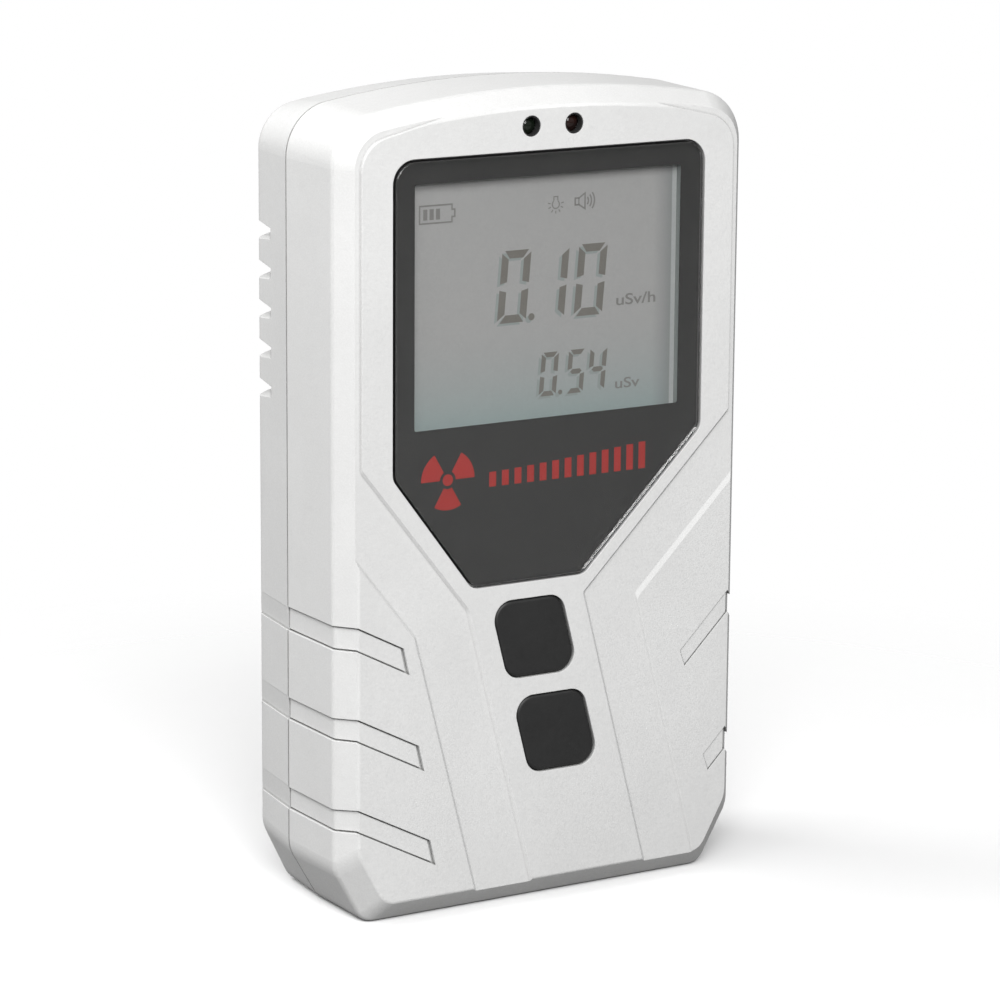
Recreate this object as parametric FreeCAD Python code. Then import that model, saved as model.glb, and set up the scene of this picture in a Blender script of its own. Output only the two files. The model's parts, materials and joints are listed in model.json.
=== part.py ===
import FreeCAD, Part
import math
import os

# Pocket radiation dose meter (geiger counter), standing upright on its base.
# Millimetres. +Z up, +Y towards the back, the display faces -Y, X = 0 is the middle plane.
# The origin is the middle of the bounding box, on the surface that the meter stands on.

# ---------------------------------------------------------------- driving dimensions
WIDTH = 60.0                # across the parting line of the two shells
HEIGHT = 105.4              # top of the crown
DEPTH = 25.0                # window face to back
WINDOW_PROUD = 0.15         # the window stands this far in front of the case

Y_WINDOW = -DEPTH / 2
Y_FACE = Y_WINDOW + WINDOW_PROUD
Y_BACK = DEPTH / 2
Y_SEAM = 1.9                # parting plane of the shells
SEAM_GAP = 0.12
SEAM_BEVEL = 0.2

WALL = 1.8                  # side walls
FRONT_WALL = 2.0
BACK_WALL = 1.6
Y_FRONT_INSIDE = Y_FACE + FRONT_WALL
Y_BACK_INSIDE = Y_BACK - BACK_WALL

CROWN_RADIUS = 146.0        # the top edge is one shallow arc
SHOULDER_RADIUS = 6.8
TOE_X = 25.6                # the lower corners are cut off between TOE_X and TOE_Z
TOE_Z = 7.6
KNEE_RADIUS = 4.5
TOE_RADIUS = 2.6
BASE_TRIM = 0.02            # the shells are drawn this much too long and cut flat at the base

BEVEL_DEPTH = 2.85          # sloping edge round the front face
EDGE_INSET = 0.25           # moulding draft of the front shell's sides
BEVEL_RUN = 2.2
BEVEL_RUN_TOE = 2.95
OUTER_EDGE_ROUND = 1.1
INNER_EDGE_ROUND = 0.5
BACK_TAPER = 1.15
BACK_ROUND = 2.0

RELIEF = 0.38               # the raised pads stand this far above the front face's ground
RIGHT_PAD_DROP = 0.2        # the right-hand pad is this much lower than the other two
LEAN = 0.26                 # sideways run per unit drop of everything below the window
LEFT_SLOPE = 1.27           # drop per unit run of the left diagonals
RIGHT_SLOPE = 1.0

# Grooves that wrap from the front face over the bevel to the side: top and bottom heights on
# the side, heights where they meet the front face, and the x of their inner end.
LEFT_BANDS = ((39.5, 36.4, 39.5, 36.4, -21.1), (27.6, 24.7, 27.7, 24.7, -18.9),
              (15.7, 12.8, 15.9, 12.9, -17.2))
RIGHT_BANDS = ((36.3, 33.4, 37.7, 34.8, 20.3), (17.4, 14.6, 19.2, 16.1, 24.2))
BAND_DEPTH = 0.3
LINE_WIDTH = 0.2            # sunk outline of the grooves, wider at their inner ends
LINE_END_WIDTH = 0.34
LINE_DEPTH = 0.65
FACE_EDGE_X = WIDTH / 2 - EDGE_INSET - BEVEL_RUN

NOTCH_HEIGHTS = [66.2 + 5.05 * i for i in range(5)]
NOTCH_FLOOR_Y = 7.07        # the notch floors leave the side here and run back and inwards
NOTCH_TURN = 28.0           # degrees from the side
REAR_BANDS = ((36.4, 24.7, 12.8), (33.4, 14.6))
REAR_BAND_HEIGHT = 3.0

PANEL_HALF = 22.4
PANEL_TOP = 97.2
PANEL_BOTTOM = 42.9
PANEL_LEFT_KNEE = 57.9      # where the window's left side turns into the diagonal
PANEL_RIGHT_KNEE = 60.15
PANEL_FOOT = (-11.1, 5.1)
PANEL_THICK = 1.0
PANEL_GAP = 0.35
MASK_GAP = 0.05
MASK_THICK = 0.08
ADHESIVE_THICK = 0.17
VIEW_HALF = 19.4            # clear view of the display
VIEW_BOTTOM = 63.5
VIEW_TOP = 94.3
APERTURE = (19.5, 63.25, 94.4)    # opening in the shell: half width, bottom, top

BUTTONS = {"upper": (-2.0, 35.25), "lower": (1.33, 22.4)}
BUTTON_HOLE = (10.7, 10.45)
BUTTON_CORNER = 2.5
BUTTON_GAP = 0.15
BUTTON_RECESS = 0.1
PLUNGER_TOP = -8.0
SWITCH_TOP = -6.7
SWITCH_HALF = 3.0

LED_X = 3.1
LED_Z = 100.6
LED_RADIUS = 1.5
LED_HOLE_RADIUS = 1.32
LAMP_TIP = Y_FACE + 0.6
SLEEVE_STEP = Y_FACE + 0.8

BOARD_FRONT = -3.2
BOARD_BACK = -1.6
SCREW_X = 24.9
CASE_SCREW_Z = (13.0, 94.0)
BOARD_SCREW_Z = 55.0
SCREW_SEAT = 8.0

LCD_HALF = 21.5
LCD_BOTTOM = 61.8
LCD_TOP = 96.4
LCD_FRONT = Y_FRONT_INSIDE + 0.05
GLASS_THICK = 1.1
CONTACT_LEDGE = 2.4
BACKLIGHT_BACK = -5.65

CELL_RADIUS = 5.25          # AAA cells
CELL_LENGTH = 44.5
CELL_X = 5.6
CELL_Y = 5.3
BAY_HALF = 11.3
BAY_BOTTOM = 10.4
BAY_TOP = 58.6
SPRING_WIRE = 0.5
PLATE = 0.4
DOOR_HALF = 12.6
DOOR_BOTTOM = 8.8
DOOR_THICK = 1.5
HINGE_Y = 11.35
HINGE_Z = 60.9
HINGE_PIN_RADIUS = 0.6

TUBE_Z = 76.35
TUBE_Y = 4.9
TUBE_RADIUS = 4.8
TUBE_HALF = 24.0

SIDE_X = 20.3               # middle of the columns of parts beside the battery bay
BUZZER_Z = 46.0
SOUND_HOLES = 6


# ---------------------------------------------------------------- helpers
def vec(x, y, z):
    return FreeCAD.Vector(x, y, z)


def box(x0, x1, y0, y1, z0, z1):
    return Part.makeBox(x1 - x0, y1 - y0, z1 - z0, vec(x0, y0, z0))


def rod_y(x, z, radius, y0, y1):
    return Part.makeCylinder(radius, y1 - y0, vec(x, y0, z), vec(0, 1, 0))


def rod_x(y, z, radius, x0, x1):
    return Part.makeCylinder(radius, x1 - x0, vec(x0, y, z), vec(1, 0, 0))


def rod_z(x, y, radius, z0, z1):
    return Part.makeCylinder(radius, z1 - z0, vec(x, y, z0), vec(0, 0, 1))


def corner_arc(before, corner, after, radius):
    """Start, middle and end of the arc that rounds a corner; a sharp corner for radius 0."""
    if radius <= 0:
        return corner, corner, corner
    back = (before - corner).normalize()
    ahead = (after - corner).normalize()
    half_angle = back.getAngle(ahead) / 2
    inward = (back + ahead).normalize()
    centre = corner + inward * (radius / math.sin(half_angle))
    run = radius / math.tan(half_angle)
    return corner + back * run, centre - inward * radius, corner + ahead * run


def rounded_wire(corners, y):
    """Closed wire in the plane at depth y through (x, z, rounding radius) corners."""
    points = [vec(x, y, z) for x, z, _ in corners]
    count = len(points)
    arcs = [corner_arc(points[i - 1], points[i], points[(i + 1) % count], corners[i][2])
            for i in range(count)]
    edges = []
    for i, (start, middle, end) in enumerate(arcs):
        if start.distanceToPoint(end) > 1e-6:
            edges.append(Part.Arc(start, middle, end).toShape())
        edges.append(Part.LineSegment(end, arcs[(i + 1) % count][0]).toShape())
    return Part.Wire(edges)


def prism(wire, y0, y1):
    """Solid between two depths with a wire's outline."""
    start = wire.BoundBox.YMin
    face = Part.Face(wire)
    face.translate(vec(0, y0 - start, 0))
    return face.extrude(vec(0, y1 - y0, 0))


def ruled(wires):
    return Part.makeLoft(wires, True, True)


def edges_at(shape, y):
    return [e for e in shape.Edges
            if abs(e.BoundBox.YMin - y) < 1e-4 and abs(e.BoundBox.YMax - y) < 1e-4]


def mirrored(shape):
    return shape.mirror(vec(0, 0, 0), vec(1, 0, 0))


def union(shapes):
    return shapes[0].multiFuse(shapes[1:]).removeSplitter()


def stand_flat(shape):
    """The shape above the surface that the meter stands on."""
    return shape.cut(box(-50, 50, -50, 50, -5, 0))


def export(name, shape):
    shape.exportStep("parts/%s.step" % name)


# ---------------------------------------------------------------- case outline
def case_wire(y, half, crown, base, toe_x, toe_z, shoulder, crown_radius, knee=KNEE_RADIUS, toe=TOE_RADIUS):
    """Outline of the case at depth y: cut lower corners, round shoulders, arched crown."""
    crown_centre = crown - crown_radius
    shoulder_x = half - shoulder
    shoulder_z = crown_centre + math.sqrt((crown_radius - shoulder) ** 2 - shoulder_x ** 2)
    outward = vec(shoulder_x, 0, shoulder_z - crown_centre).normalize()
    tangent = vec(outward.x * crown_radius, y, crown_centre + outward.z * crown_radius)
    diagonal = (vec(1, 0, 0) + outward).normalize()
    middle = vec(shoulder_x + diagonal.x * shoulder, y, shoulder_z + diagonal.z * shoulder)

    lower = [(-half, shoulder_z, 0), (-half, toe_z, knee), (-toe_x, base, toe),
             (toe_x, base, toe), (half, toe_z, knee), (half, shoulder_z, 0)]
    points = [vec(x, y, z) for x, z, _ in lower]
    last = len(points) - 1
    arcs = [corner_arc(points[max(i - 1, 0)], points[i], points[min(i + 1, last)], lower[i][2])
            for i in range(len(points))]
    edges = []
    for i in range(last):
        start, through, end = arcs[i]
        if start.distanceToPoint(end) > 1e-6:
            edges.append(Part.Arc(start, through, end).toShape())
        edges.append(Part.LineSegment(end, arcs[i + 1][0]).toShape())
    edges.append(Part.Arc(points[last], middle, tangent).toShape())
    left_tangent = vec(-tangent.x, y, tangent.z)
    edges.append(Part.Arc(tangent, vec(0, y, crown), left_tangent).toShape())
    edges.append(Part.Arc(left_tangent, vec(-middle.x, y, middle.z), points[0]).toShape())
    return Part.Wire(edges)


def seam_wire(y, inset=0.0):
    """Outline at the parting plane, moved in by inset."""
    wire = case_wire(y, WIDTH / 2, HEIGHT, 0.0, TOE_X, TOE_Z, SHOULDER_RADIUS, CROWN_RADIUS)
    return wire.makeOffset2D(-inset) if inset else wire


# ---------------------------------------------------------------- front shell
def front_envelope():
    """Outside of the front shell before the pads and grooves are cut."""
    half = WIDTH / 2 - EDGE_INSET
    face = case_wire(Y_FACE, half - BEVEL_RUN, HEIGHT - EDGE_INSET - BEVEL_RUN, BEVEL_RUN_TOE,
                     TOE_X - 1.9, TOE_Z + 2.3, SHOULDER_RADIUS - 2.4, CROWN_RADIUS - BEVEL_RUN)
    edge = case_wire(Y_FACE + BEVEL_DEPTH, half, HEIGHT - EDGE_INSET, -BASE_TRIM,
                     TOE_X - 0.2, TOE_Z, SHOULDER_RADIUS - 0.2, CROWN_RADIUS)
    seam = case_wire(Y_SEAM - SEAM_BEVEL, WIDTH / 2, HEIGHT, -BASE_TRIM, TOE_X, TOE_Z, SHOULDER_RADIUS,
                     CROWN_RADIUS)
    rim = case_wire(Y_SEAM, WIDTH / 2 - SEAM_BEVEL, HEIGHT - SEAM_BEVEL, SEAM_BEVEL, TOE_X - 0.1,
                    TOE_Z + 0.1, SHOULDER_RADIUS - SEAM_BEVEL, CROWN_RADIUS - SEAM_BEVEL)
    body = ruled([face, edge, seam, rim])
    body = body.makeFillet(OUTER_EDGE_ROUND, edges_at(body, Y_FACE + BEVEL_DEPTH))
    return stand_flat(body.makeFillet(INNER_EDGE_ROUND, edges_at(body, Y_FACE)))


def shifted(corners, shifts):
    """The outline with each side moved outwards by its own shift."""
    count = len(corners)
    sides = []
    for i in range(count):
        x0, z0, _ = corners[i]
        x1, z1, _ = corners[(i + 1) % count]
        length = math.hypot(x1 - x0, z1 - z0)
        dx, dz = (x1 - x0) / length, (z1 - z0) / length
        sides.append((x0 + dz * shifts[i], z0 - dx * shifts[i], dx, dz))
    moved = []
    for i in range(count):
        ax, az, adx, adz = sides[i - 1]
        bx, bz, bdx, bdz = sides[i]
        along = ((bx - ax) * bdz - (bz - az) * bdx) / (adx * bdz - adz * bdx)
        moved.append((ax + adx * along, az + adz * along, corners[i][2]))
    return moved


def pad(corners, runs):
    """Raised pad of the front face: its top outline, and how far each side's foot spreads."""
    sections = []
    for y in (Y_FACE - 0.5, Y_FACE + RELIEF + 0.2):
        rise = (y - Y_FACE) / RELIEF
        sections.append(rounded_wire(shifted(corners, [run * rise for run in runs]), y))
    return ruled(sections)


def front_pads():
    """The three raised areas of the front face, wider at the foot than at the top."""
    low = -6.0
    far = 34.0
    side = PANEL_HALF + 4.6
    soft = 0.38
    steep = 0.14
    centre_knees = (-11.6, 39.9), (5.15, 40.2)
    left_knee = (-19.6, 37.1)
    right_knee = (14.0, 37.7)
    (lx, lz), (rx, rz) = centre_knees
    centre = [(lx + LEAN * (lz - low), low, 0), (rx + LEAN * (rz - low), low, 0),
              (rx, rz, 0.6), (side, rz + (side - rx) * RIGHT_SLOPE, 0.8),
              (side, 99.5, 4.2), (0, 106.0, 8.0), (-side, 99.5, 4.2),
              (-side, lz + (side + lx) * LEFT_SLOPE, 0.8), (lx, lz, 2.2)]
    centre_runs = [0, soft, soft, steep, steep, steep, steep, soft, soft]
    kx, kz = left_knee
    left = [(-far, low, 0), (kx + LEAN * (kz - low), low, 0), (kx, kz, 1.0),
            (-far, kz + (far + kx) * LEFT_SLOPE, 0)]
    left_runs = [0, soft, soft, 0]
    kx, kz = right_knee
    right = [(kx + LEAN * (kz - low), low, 0), (far, low, 0),
             (far, kz + (far - kx) * RIGHT_SLOPE, 0), (kx, kz, 0.8)]
    right_runs = [0, 0, soft * 4.0, soft]
    right_pad = pad(right, right_runs).cut(box(0, far, Y_FACE - 1, Y_FACE + RIGHT_PAD_DROP, low, 120))
    return [pad(centre, centre_runs), pad(left, left_runs), right_pad]


def slab_between(envelope, depth):
    """The envelope's skin, depth thick on the face, bevel and sides."""
    half = WIDTH / 2 - EDGE_INSET - depth
    face = case_wire(Y_FACE + depth, half - BEVEL_RUN + 0.07, HEIGHT - EDGE_INSET - BEVEL_RUN - 0.2,
                     BEVEL_RUN_TOE + 0.2, TOE_X - 2.1, TOE_Z + 2.5, SHOULDER_RADIUS - 2.6,
                     CROWN_RADIUS - BEVEL_RUN - 0.2)
    edge = case_wire(Y_FACE + BEVEL_DEPTH + 0.1, half, HEIGHT - EDGE_INSET - depth, depth,
                     TOE_X - 0.4, TOE_Z + 0.15, SHOULDER_RADIUS - 0.5, CROWN_RADIUS - depth)
    seam = case_wire(Y_SEAM + 1.0, half + EDGE_INSET, HEIGHT - depth, depth, TOE_X - 0.2,
                     TOE_Z + 0.15, SHOULDER_RADIUS - 0.3, CROWN_RADIUS - depth)
    core = ruled([face, edge, seam])
    core = core.makeFillet(OUTER_EDGE_ROUND - 0.2, edges_at(core, Y_FACE + BEVEL_DEPTH + 0.1))
    return envelope.cut(core)


def band_solids():
    """Sheets that mark out the wrap-round grooves, as seen from the front and the side."""
    solids = []
    for sign, bands, slope in ((-1, LEFT_BANDS, 0.525), (1, RIGHT_BANDS, RIGHT_SLOPE)):
        for side_top, side_low, face_top, face_low, inner in bands:
            run = FACE_EDGE_X - abs(inner)
            lean = LEAN * (face_top - face_low)
            face = [(sign * FACE_EDGE_X, face_top), (inner, face_top - run * slope),
                    (inner + lean, face_low - (run - sign * lean) * slope),
                    (sign * FACE_EDGE_X, face_low)]
            edge_x = sign * (WIDTH / 2 - EDGE_INSET)
            outline = [(edge_x + sign * 2, side_top), (edge_x, side_top)] + face
            outline += [(edge_x, side_low), (edge_x + sign * 2, side_low)]
            points = [vec(x, Y_FACE - 1, z) for x, z in outline]
            sheet = Part.Face(Part.makePolygon(points + points[:1]))
            solids.append(sheet.extrude(vec(0, Y_SEAM + 2 - Y_FACE, 0)))
    return solids


def band_lines(bands):
    """The grooves' sunk outlines: all round on the left, along the lower edge on the right."""
    lines = []
    for band in bands:
        kept = band
        on_left = band.BoundBox.XMax < 0
        shifts = [(0, LINE_WIDTH)]
        if on_left:
            shifts += [(0, -LINE_WIDTH), (-LINE_END_WIDTH, 0)]
        for dx, dz in shifts:
            moved = band.copy()
            moved.translate(vec(dx, 0, dz))
            kept = kept.common(moved)
        lines.append(band.cut(kept))
    return lines


def panel_corners():
    return [(PANEL_FOOT[0], PANEL_BOTTOM, 1.6), (PANEL_FOOT[1], PANEL_BOTTOM, 1.6),
            (PANEL_HALF, PANEL_RIGHT_KNEE, 1.8), (PANEL_HALF, PANEL_TOP, 2.7),
            (-PANEL_HALF, PANEL_TOP, 2.7), (-PANEL_HALF, PANEL_LEFT_KNEE, 1.8)]


def view_wire(grow, y):
    half = VIEW_HALF + grow
    return rounded_wire([(-half, VIEW_BOTTOM - grow, 0.3), (half, VIEW_BOTTOM - grow, 0.3),
                         (half, VIEW_TOP + grow, 0.3), (-half, VIEW_TOP + grow, 0.3)], y)


def button_wire(centre, grow, y):
    """Rounded square that leans like the grooves beside it."""
    x, z = centre
    half_w = BUTTON_HOLE[0] / 2 + grow
    half_h = BUTTON_HOLE[1] / 2 + grow
    radius = BUTTON_CORNER + grow
    corners = [(x + side * half_w - LEAN * height * half_h, z + height * half_h, radius)
               for side, height in ((-1, -1), (1, -1), (1, 1), (-1, 1))]
    return rounded_wire(corners, y)


def front_shell():
    envelope = front_envelope()
    ground = envelope.cut(box(-40, 40, Y_FACE - 5, Y_FACE + RELIEF, -5, 120))
    pads = [p.common(envelope) for p in front_pads()]
    skin = ground.multiFuse(pads)

    bands = band_solids()
    shallow = slab_between(envelope, BAND_DEPTH)
    deep = slab_between(envelope, LINE_DEPTH)
    grooves = [band.common(shallow) for band in bands] + [line.common(deep) for line in band_lines(bands)]
    skin = skin.cut(Part.Compound(grooves))

    step = 2.8
    cavity = prism(seam_wire(Y_SEAM, WALL), Y_FACE + 3.95, Y_SEAM + 1)
    cavity = cavity.fuse(prism(seam_wire(Y_SEAM, step), Y_FRONT_INSIDE, Y_FACE + 4.0))
    rebate = prism(seam_wire(Y_SEAM, 0.95), Y_SEAM - 1.5, Y_SEAM + 1)
    body = skin.cut(Part.Compound([cavity, rebate]))

    bosses = []
    for x in (-SCREW_X, SCREW_X):
        for z in CASE_SCREW_Z + (BOARD_SCREW_Z,):
            bosses.append(rod_y(x, z, 1.9, Y_FRONT_INSIDE - 0.3, BOARD_FRONT))
    body = body.multiFuse(bosses)

    cuts = [prism(rounded_wire(panel_corners(), Y_FACE).makeOffset2D(PANEL_GAP), Y_FACE - 1,
                  Y_WINDOW + PANEL_THICK + MASK_GAP + MASK_THICK + ADHESIVE_THICK)]
    half, low, high = APERTURE
    cuts.append(box(-half, half, Y_FACE - 1, Y_FRONT_INSIDE + 1, low, high))
    for centre in BUTTONS.values():
        cuts.append(prism(button_wire(centre, 0, Y_FACE), Y_FACE - 1, Y_FRONT_INSIDE + 1))
    for x in (-LED_X, LED_X):
        cuts.append(rod_y(x, LED_Z, LED_HOLE_RADIUS, Y_FACE - 1, Y_FRONT_INSIDE + 1))
        cuts.append(rod_y(x, LED_Z, LED_RADIUS + 0.15, Y_FACE + 0.75, Y_FRONT_INSIDE + 1))
    for x in (-SCREW_X, SCREW_X):
        for z in CASE_SCREW_Z:
            cuts.append(rod_y(x, z, 1.0, BOARD_FRONT - 5.2, BOARD_FRONT + 1))
        cuts.append(rod_y(x, BOARD_SCREW_Z, 0.8, BOARD_FRONT - 4.6, BOARD_FRONT + 1))
    return body.cut(Part.Compound(cuts))


# ---------------------------------------------------------------- rear shell
def rear_envelope():
    seam = case_wire(Y_SEAM + SEAM_GAP, WIDTH / 2, HEIGHT, -BASE_TRIM, TOE_X, TOE_Z, SHOULDER_RADIUS,
                     CROWN_RADIUS)
    back = case_wire(Y_BACK, WIDTH / 2 - BACK_TAPER, HEIGHT - BACK_TAPER, -BASE_TRIM, TOE_X - 0.6,
                     TOE_Z + 0.6, SHOULDER_RADIUS - 1.1, CROWN_RADIUS - BACK_TAPER)
    body = ruled([seam, back])
    return stand_flat(body.makeFillet(BACK_ROUND, edges_at(body, Y_BACK)))


def rear_cavity():
    opening = case_wire(Y_SEAM - 3, WIDTH / 2 - WALL, HEIGHT - WALL, WALL, TOE_X - 1.0, TOE_Z + 0.5,
                        SHOULDER_RADIUS - WALL, CROWN_RADIUS - WALL, KNEE_RADIUS - 1.0, 0.5)
    floor = case_wire(Y_BACK_INSIDE, WIDTH / 2 - BACK_TAPER - WALL - 0.1, HEIGHT - BACK_TAPER - WALL, WALL,
                      TOE_X - 1.6, TOE_Z + 0.8, SHOULDER_RADIUS - WALL - 1.0, CROWN_RADIUS - WALL - 1,
                      KNEE_RADIUS - 1.0, 0.5)
    return ruled([opening, floor])


def notch(height):
    """Corner notch whose walls flare outwards from a flat floor."""
    lengthwise = vec(math.sin(math.radians(NOTCH_TURN)), math.cos(math.radians(NOTCH_TURN)), 0)
    outward = vec(-lengthwise.y, lengthwise.x, 0)
    start = vec(-29.45, NOTCH_FLOOR_Y, height)
    sections = []
    for rise, half_height in ((0, 0.7), (4.0, 1.95)):
        centre = start + outward * rise
        flare = 0.6 * rise
        points = [centre - lengthwise * flare + vec(0, 0, -half_height),
                  centre + lengthwise * 12 + vec(0, 0, -half_height),
                  centre + lengthwise * 12 + vec(0, 0, half_height),
                  centre - lengthwise * flare + vec(0, 0, half_height)]
        sections.append(Part.makePolygon(points + points[:1]))
    return ruled(sections)


def rear_band(sign, low):
    """Shallow wedge on the rear shell's side, deepest at its lower edge."""
    side = WIDTH / 2
    slant = BACK_TAPER / (Y_BACK - Y_SEAM)
    high = low + REAR_BAND_HEIGHT
    profile = [(side - 0.3, low), (side - 0.01, high), (side + 3, high), (side + 3, low)]
    ends = []
    for y in (Y_SEAM - 1, Y_BACK + 1):
        shift = (y - Y_SEAM) * slant
        points = [vec(sign * (x - (shift if i < 2 else 0)), y, z) for i, (x, z) in enumerate(profile)]
        ends.append(Part.makePolygon(points + points[:1]))
    return ruled(ends)


def rear_shell():
    body = rear_envelope().cut(rear_cavity())
    lip = prism(seam_wire(Y_SEAM, 1.05), Y_SEAM - 1.3, Y_SEAM + 2.5)
    lip = lip.cut(prism(seam_wire(Y_SEAM, WALL - 0.02), Y_SEAM - 2, Y_SEAM + 3))
    lip = lip.cut(box(-40, 40, Y_SEAM + SEAM_GAP + 2.0, Y_BACK, -5, 120))
    parts = [body, lip]
    bay_floor = BOARD_BACK + 0.7
    parts.append(box(-BAY_HALF - 2.0, BAY_HALF + 2.0, bay_floor, Y_BACK_INSIDE + 0.5, BAY_BOTTOM - 3.0,
                     BAY_TOP + 4.2))
    parts.append(box(-DOOR_HALF - 2.4, DOOR_HALF + 2.4, 8.6, Y_BACK_INSIDE + 0.5, BAY_TOP, BAY_TOP + 4.2))
    for x in (-SCREW_X, SCREW_X):
        for z in CASE_SCREW_Z:
            parts.append(rod_y(x, z, 2.9, BOARD_BACK + 0.02, Y_BACK_INSIDE + 0.5))
    envelope = rear_envelope().fuse(prism(seam_wire(Y_SEAM, 1.05), -10, Y_SEAM + 1))
    body = union(parts).common(envelope)

    gap = 0.15
    door_top = HINGE_Z + 1.3
    cuts = [box(-BAY_HALF, BAY_HALF, bay_floor + 0.8, Y_BACK + 1, BAY_BOTTOM, BAY_TOP)]
    cuts.append(box(-DOOR_HALF - gap, DOOR_HALF + gap, Y_BACK - DOOR_THICK - 0.1, Y_BACK + 1,
                    DOOR_BOTTOM - 0.2, HINGE_Z))
    cuts.append(box(-DOOR_HALF - gap, DOOR_HALF + gap, HINGE_Y, Y_BACK + 1, HINGE_Z - 1.3, door_top))
    cuts.append(rod_x(HINGE_Y, HINGE_Z, 1.3, -DOOR_HALF - gap, DOOR_HALF + gap))
    cuts.append(rod_x(HINGE_Y, HINGE_Z, HINGE_PIN_RADIUS + 0.005, -DOOR_HALF - 1.65, DOOR_HALF + 1.65))
    cuts.append(rod_y(0, DOOR_BOTTOM - 1.2, 4.0, Y_BACK - 0.7, Y_BACK + 1))
    for x in (-SCREW_X, SCREW_X):
        for z in CASE_SCREW_Z:
            cuts.append(rod_y(x, z, 1.95, SCREW_SEAT, Y_BACK + 1))
            cuts.append(rod_y(x, z, 1.15, BOARD_BACK - 1, Y_BACK))
        cuts.append(rod_y(x, BOARD_SCREW_Z, 2.2, BOARD_BACK - 1, BOARD_BACK + 1.6))
    cuts.append(rod_y(-SIDE_X, BUZZER_Z, 0.5, Y_BACK_INSIDE - 1, Y_BACK + 1))
    for i in range(SOUND_HOLES):
        angle = 2 * math.pi * i / SOUND_HOLES
        cuts.append(rod_y(-SIDE_X + 2.2 * math.cos(angle), BUZZER_Z + 2.2 * math.sin(angle), 0.5,
                          Y_BACK_INSIDE - 1, Y_BACK + 1))
    cuts += [notch(z) for z in NOTCH_HEIGHTS]
    cuts += [mirrored(notch(z)) for z in NOTCH_HEIGHTS]
    for sign, lows in zip((-1, 1), REAR_BANDS):
        cuts += [rear_band(sign, low) for low in lows]
    return body.cut(Part.Compound(cuts))


# ---------------------------------------------------------------- window and display
def window_panel():
    panel = prism(rounded_wire(panel_corners(), Y_WINDOW), Y_WINDOW, Y_WINDOW + PANEL_THICK)
    return panel.makeFillet(0.3, edges_at(panel, Y_WINDOW))


def window_mask():
    y0 = Y_WINDOW + PANEL_THICK + MASK_GAP
    mask = prism(rounded_wire(panel_corners(), y0), y0, y0 + MASK_THICK)
    return mask.cut(prism(view_wire(0, y0), y0 - 1, y0 + 1))


def window_adhesive():
    y0 = Y_WINDOW + PANEL_THICK + MASK_GAP + MASK_THICK
    ring = prism(rounded_wire(panel_corners(), y0).makeOffset2D(-0.4), y0, y0 + ADHESIVE_THICK)
    half, low, high = APERTURE
    return ring.cut(box(-half - 0.5, half + 0.5, y0 - 1, y0 + 1, low - 0.5, high + 0.5))


def display_parts():
    """The glass cell, light guide, carrier frame and rubber connector behind the window."""
    middle = LCD_FRONT + GLASS_THICK
    rear = middle + GLASS_THICK
    front_glass = box(-LCD_HALF, LCD_HALF, LCD_FRONT, middle, LCD_BOTTOM, LCD_TOP)
    rear_glass = box(-LCD_HALF, LCD_HALF, middle, rear, LCD_BOTTOM + CONTACT_LEDGE, LCD_TOP)
    backlight = box(-LCD_HALF, LCD_HALF, rear + 0.05, BACKLIGHT_BACK, LCD_BOTTOM + CONTACT_LEDGE + 0.2,
                    LCD_TOP)
    frame = box(-LCD_HALF - 1.3, LCD_HALF + 1.3, LCD_FRONT, BOARD_FRONT - 0.03, LCD_BOTTOM - 1.4,
                LCD_TOP + 1.4)
    frame = frame.cut(box(-LCD_HALF - 0.1, LCD_HALF + 0.1, LCD_FRONT - 1, BACKLIGHT_BACK + 0.03,
                          LCD_BOTTOM - 0.1, LCD_TOP + 0.1))
    frame = frame.cut(box(-LCD_HALF + 1, LCD_HALF - 1, LCD_FRONT, BOARD_FRONT + 1, LCD_BOTTOM - 0.1,
                          LCD_TOP - 2.5))
    zebra = box(-LCD_HALF + 1.6, LCD_HALF - 1.6, middle + 0.02, BOARD_FRONT - 0.02, LCD_BOTTOM,
                LCD_BOTTOM + 2.1)
    return {"lcd_cell": front_glass.fuse(rear_glass).removeSplitter(), "lcd_backlight": backlight,
            "lcd_frame": frame, "lcd_rubber_connector": zebra}


# ---------------------------------------------------------------- buttons and lamps
def button_cap(centre):
    face = Y_FACE + BUTTON_RECESS
    cap = prism(button_wire(centre, -BUTTON_GAP, face), face, Y_FRONT_INSIDE + 0.3)
    cap = cap.makeFillet(0.45, edges_at(cap, face))
    flange = prism(button_wire(centre, 0.9, face), Y_FRONT_INSIDE + 0.1, Y_FRONT_INSIDE + 0.9)
    stem = rod_y(centre[0], centre[1], 1.6, Y_FRONT_INSIDE + 0.5, PLUNGER_TOP)
    return union([cap, flange, stem])


def switch_plunger(centre):
    plunger = rod_y(centre[0], centre[1], 1.65, PLUNGER_TOP, SWITCH_TOP + 0.45)
    return plunger.makeChamfer(0.2, edges_at(plunger, PLUNGER_TOP))


def switch_body(centre):
    x, z = centre
    half = SWITCH_HALF
    body = box(x - half, x + half, SWITCH_TOP, BOARD_FRONT, z - half, z + half)
    body = body.cut(rod_y(x, z, 1.75, SWITCH_TOP - 1, SWITCH_TOP + 1.1))
    legs = []
    for foot in (x - 1.1 * half, x + 1.1 * half):
        for row in (z - 2.2, z + 2.2):
            legs.append(box(foot - 0.35, foot + 0.35, BOARD_FRONT - 0.9, BOARD_FRONT, row - 0.35, row + 0.35))
    return union([body] + legs)


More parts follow.
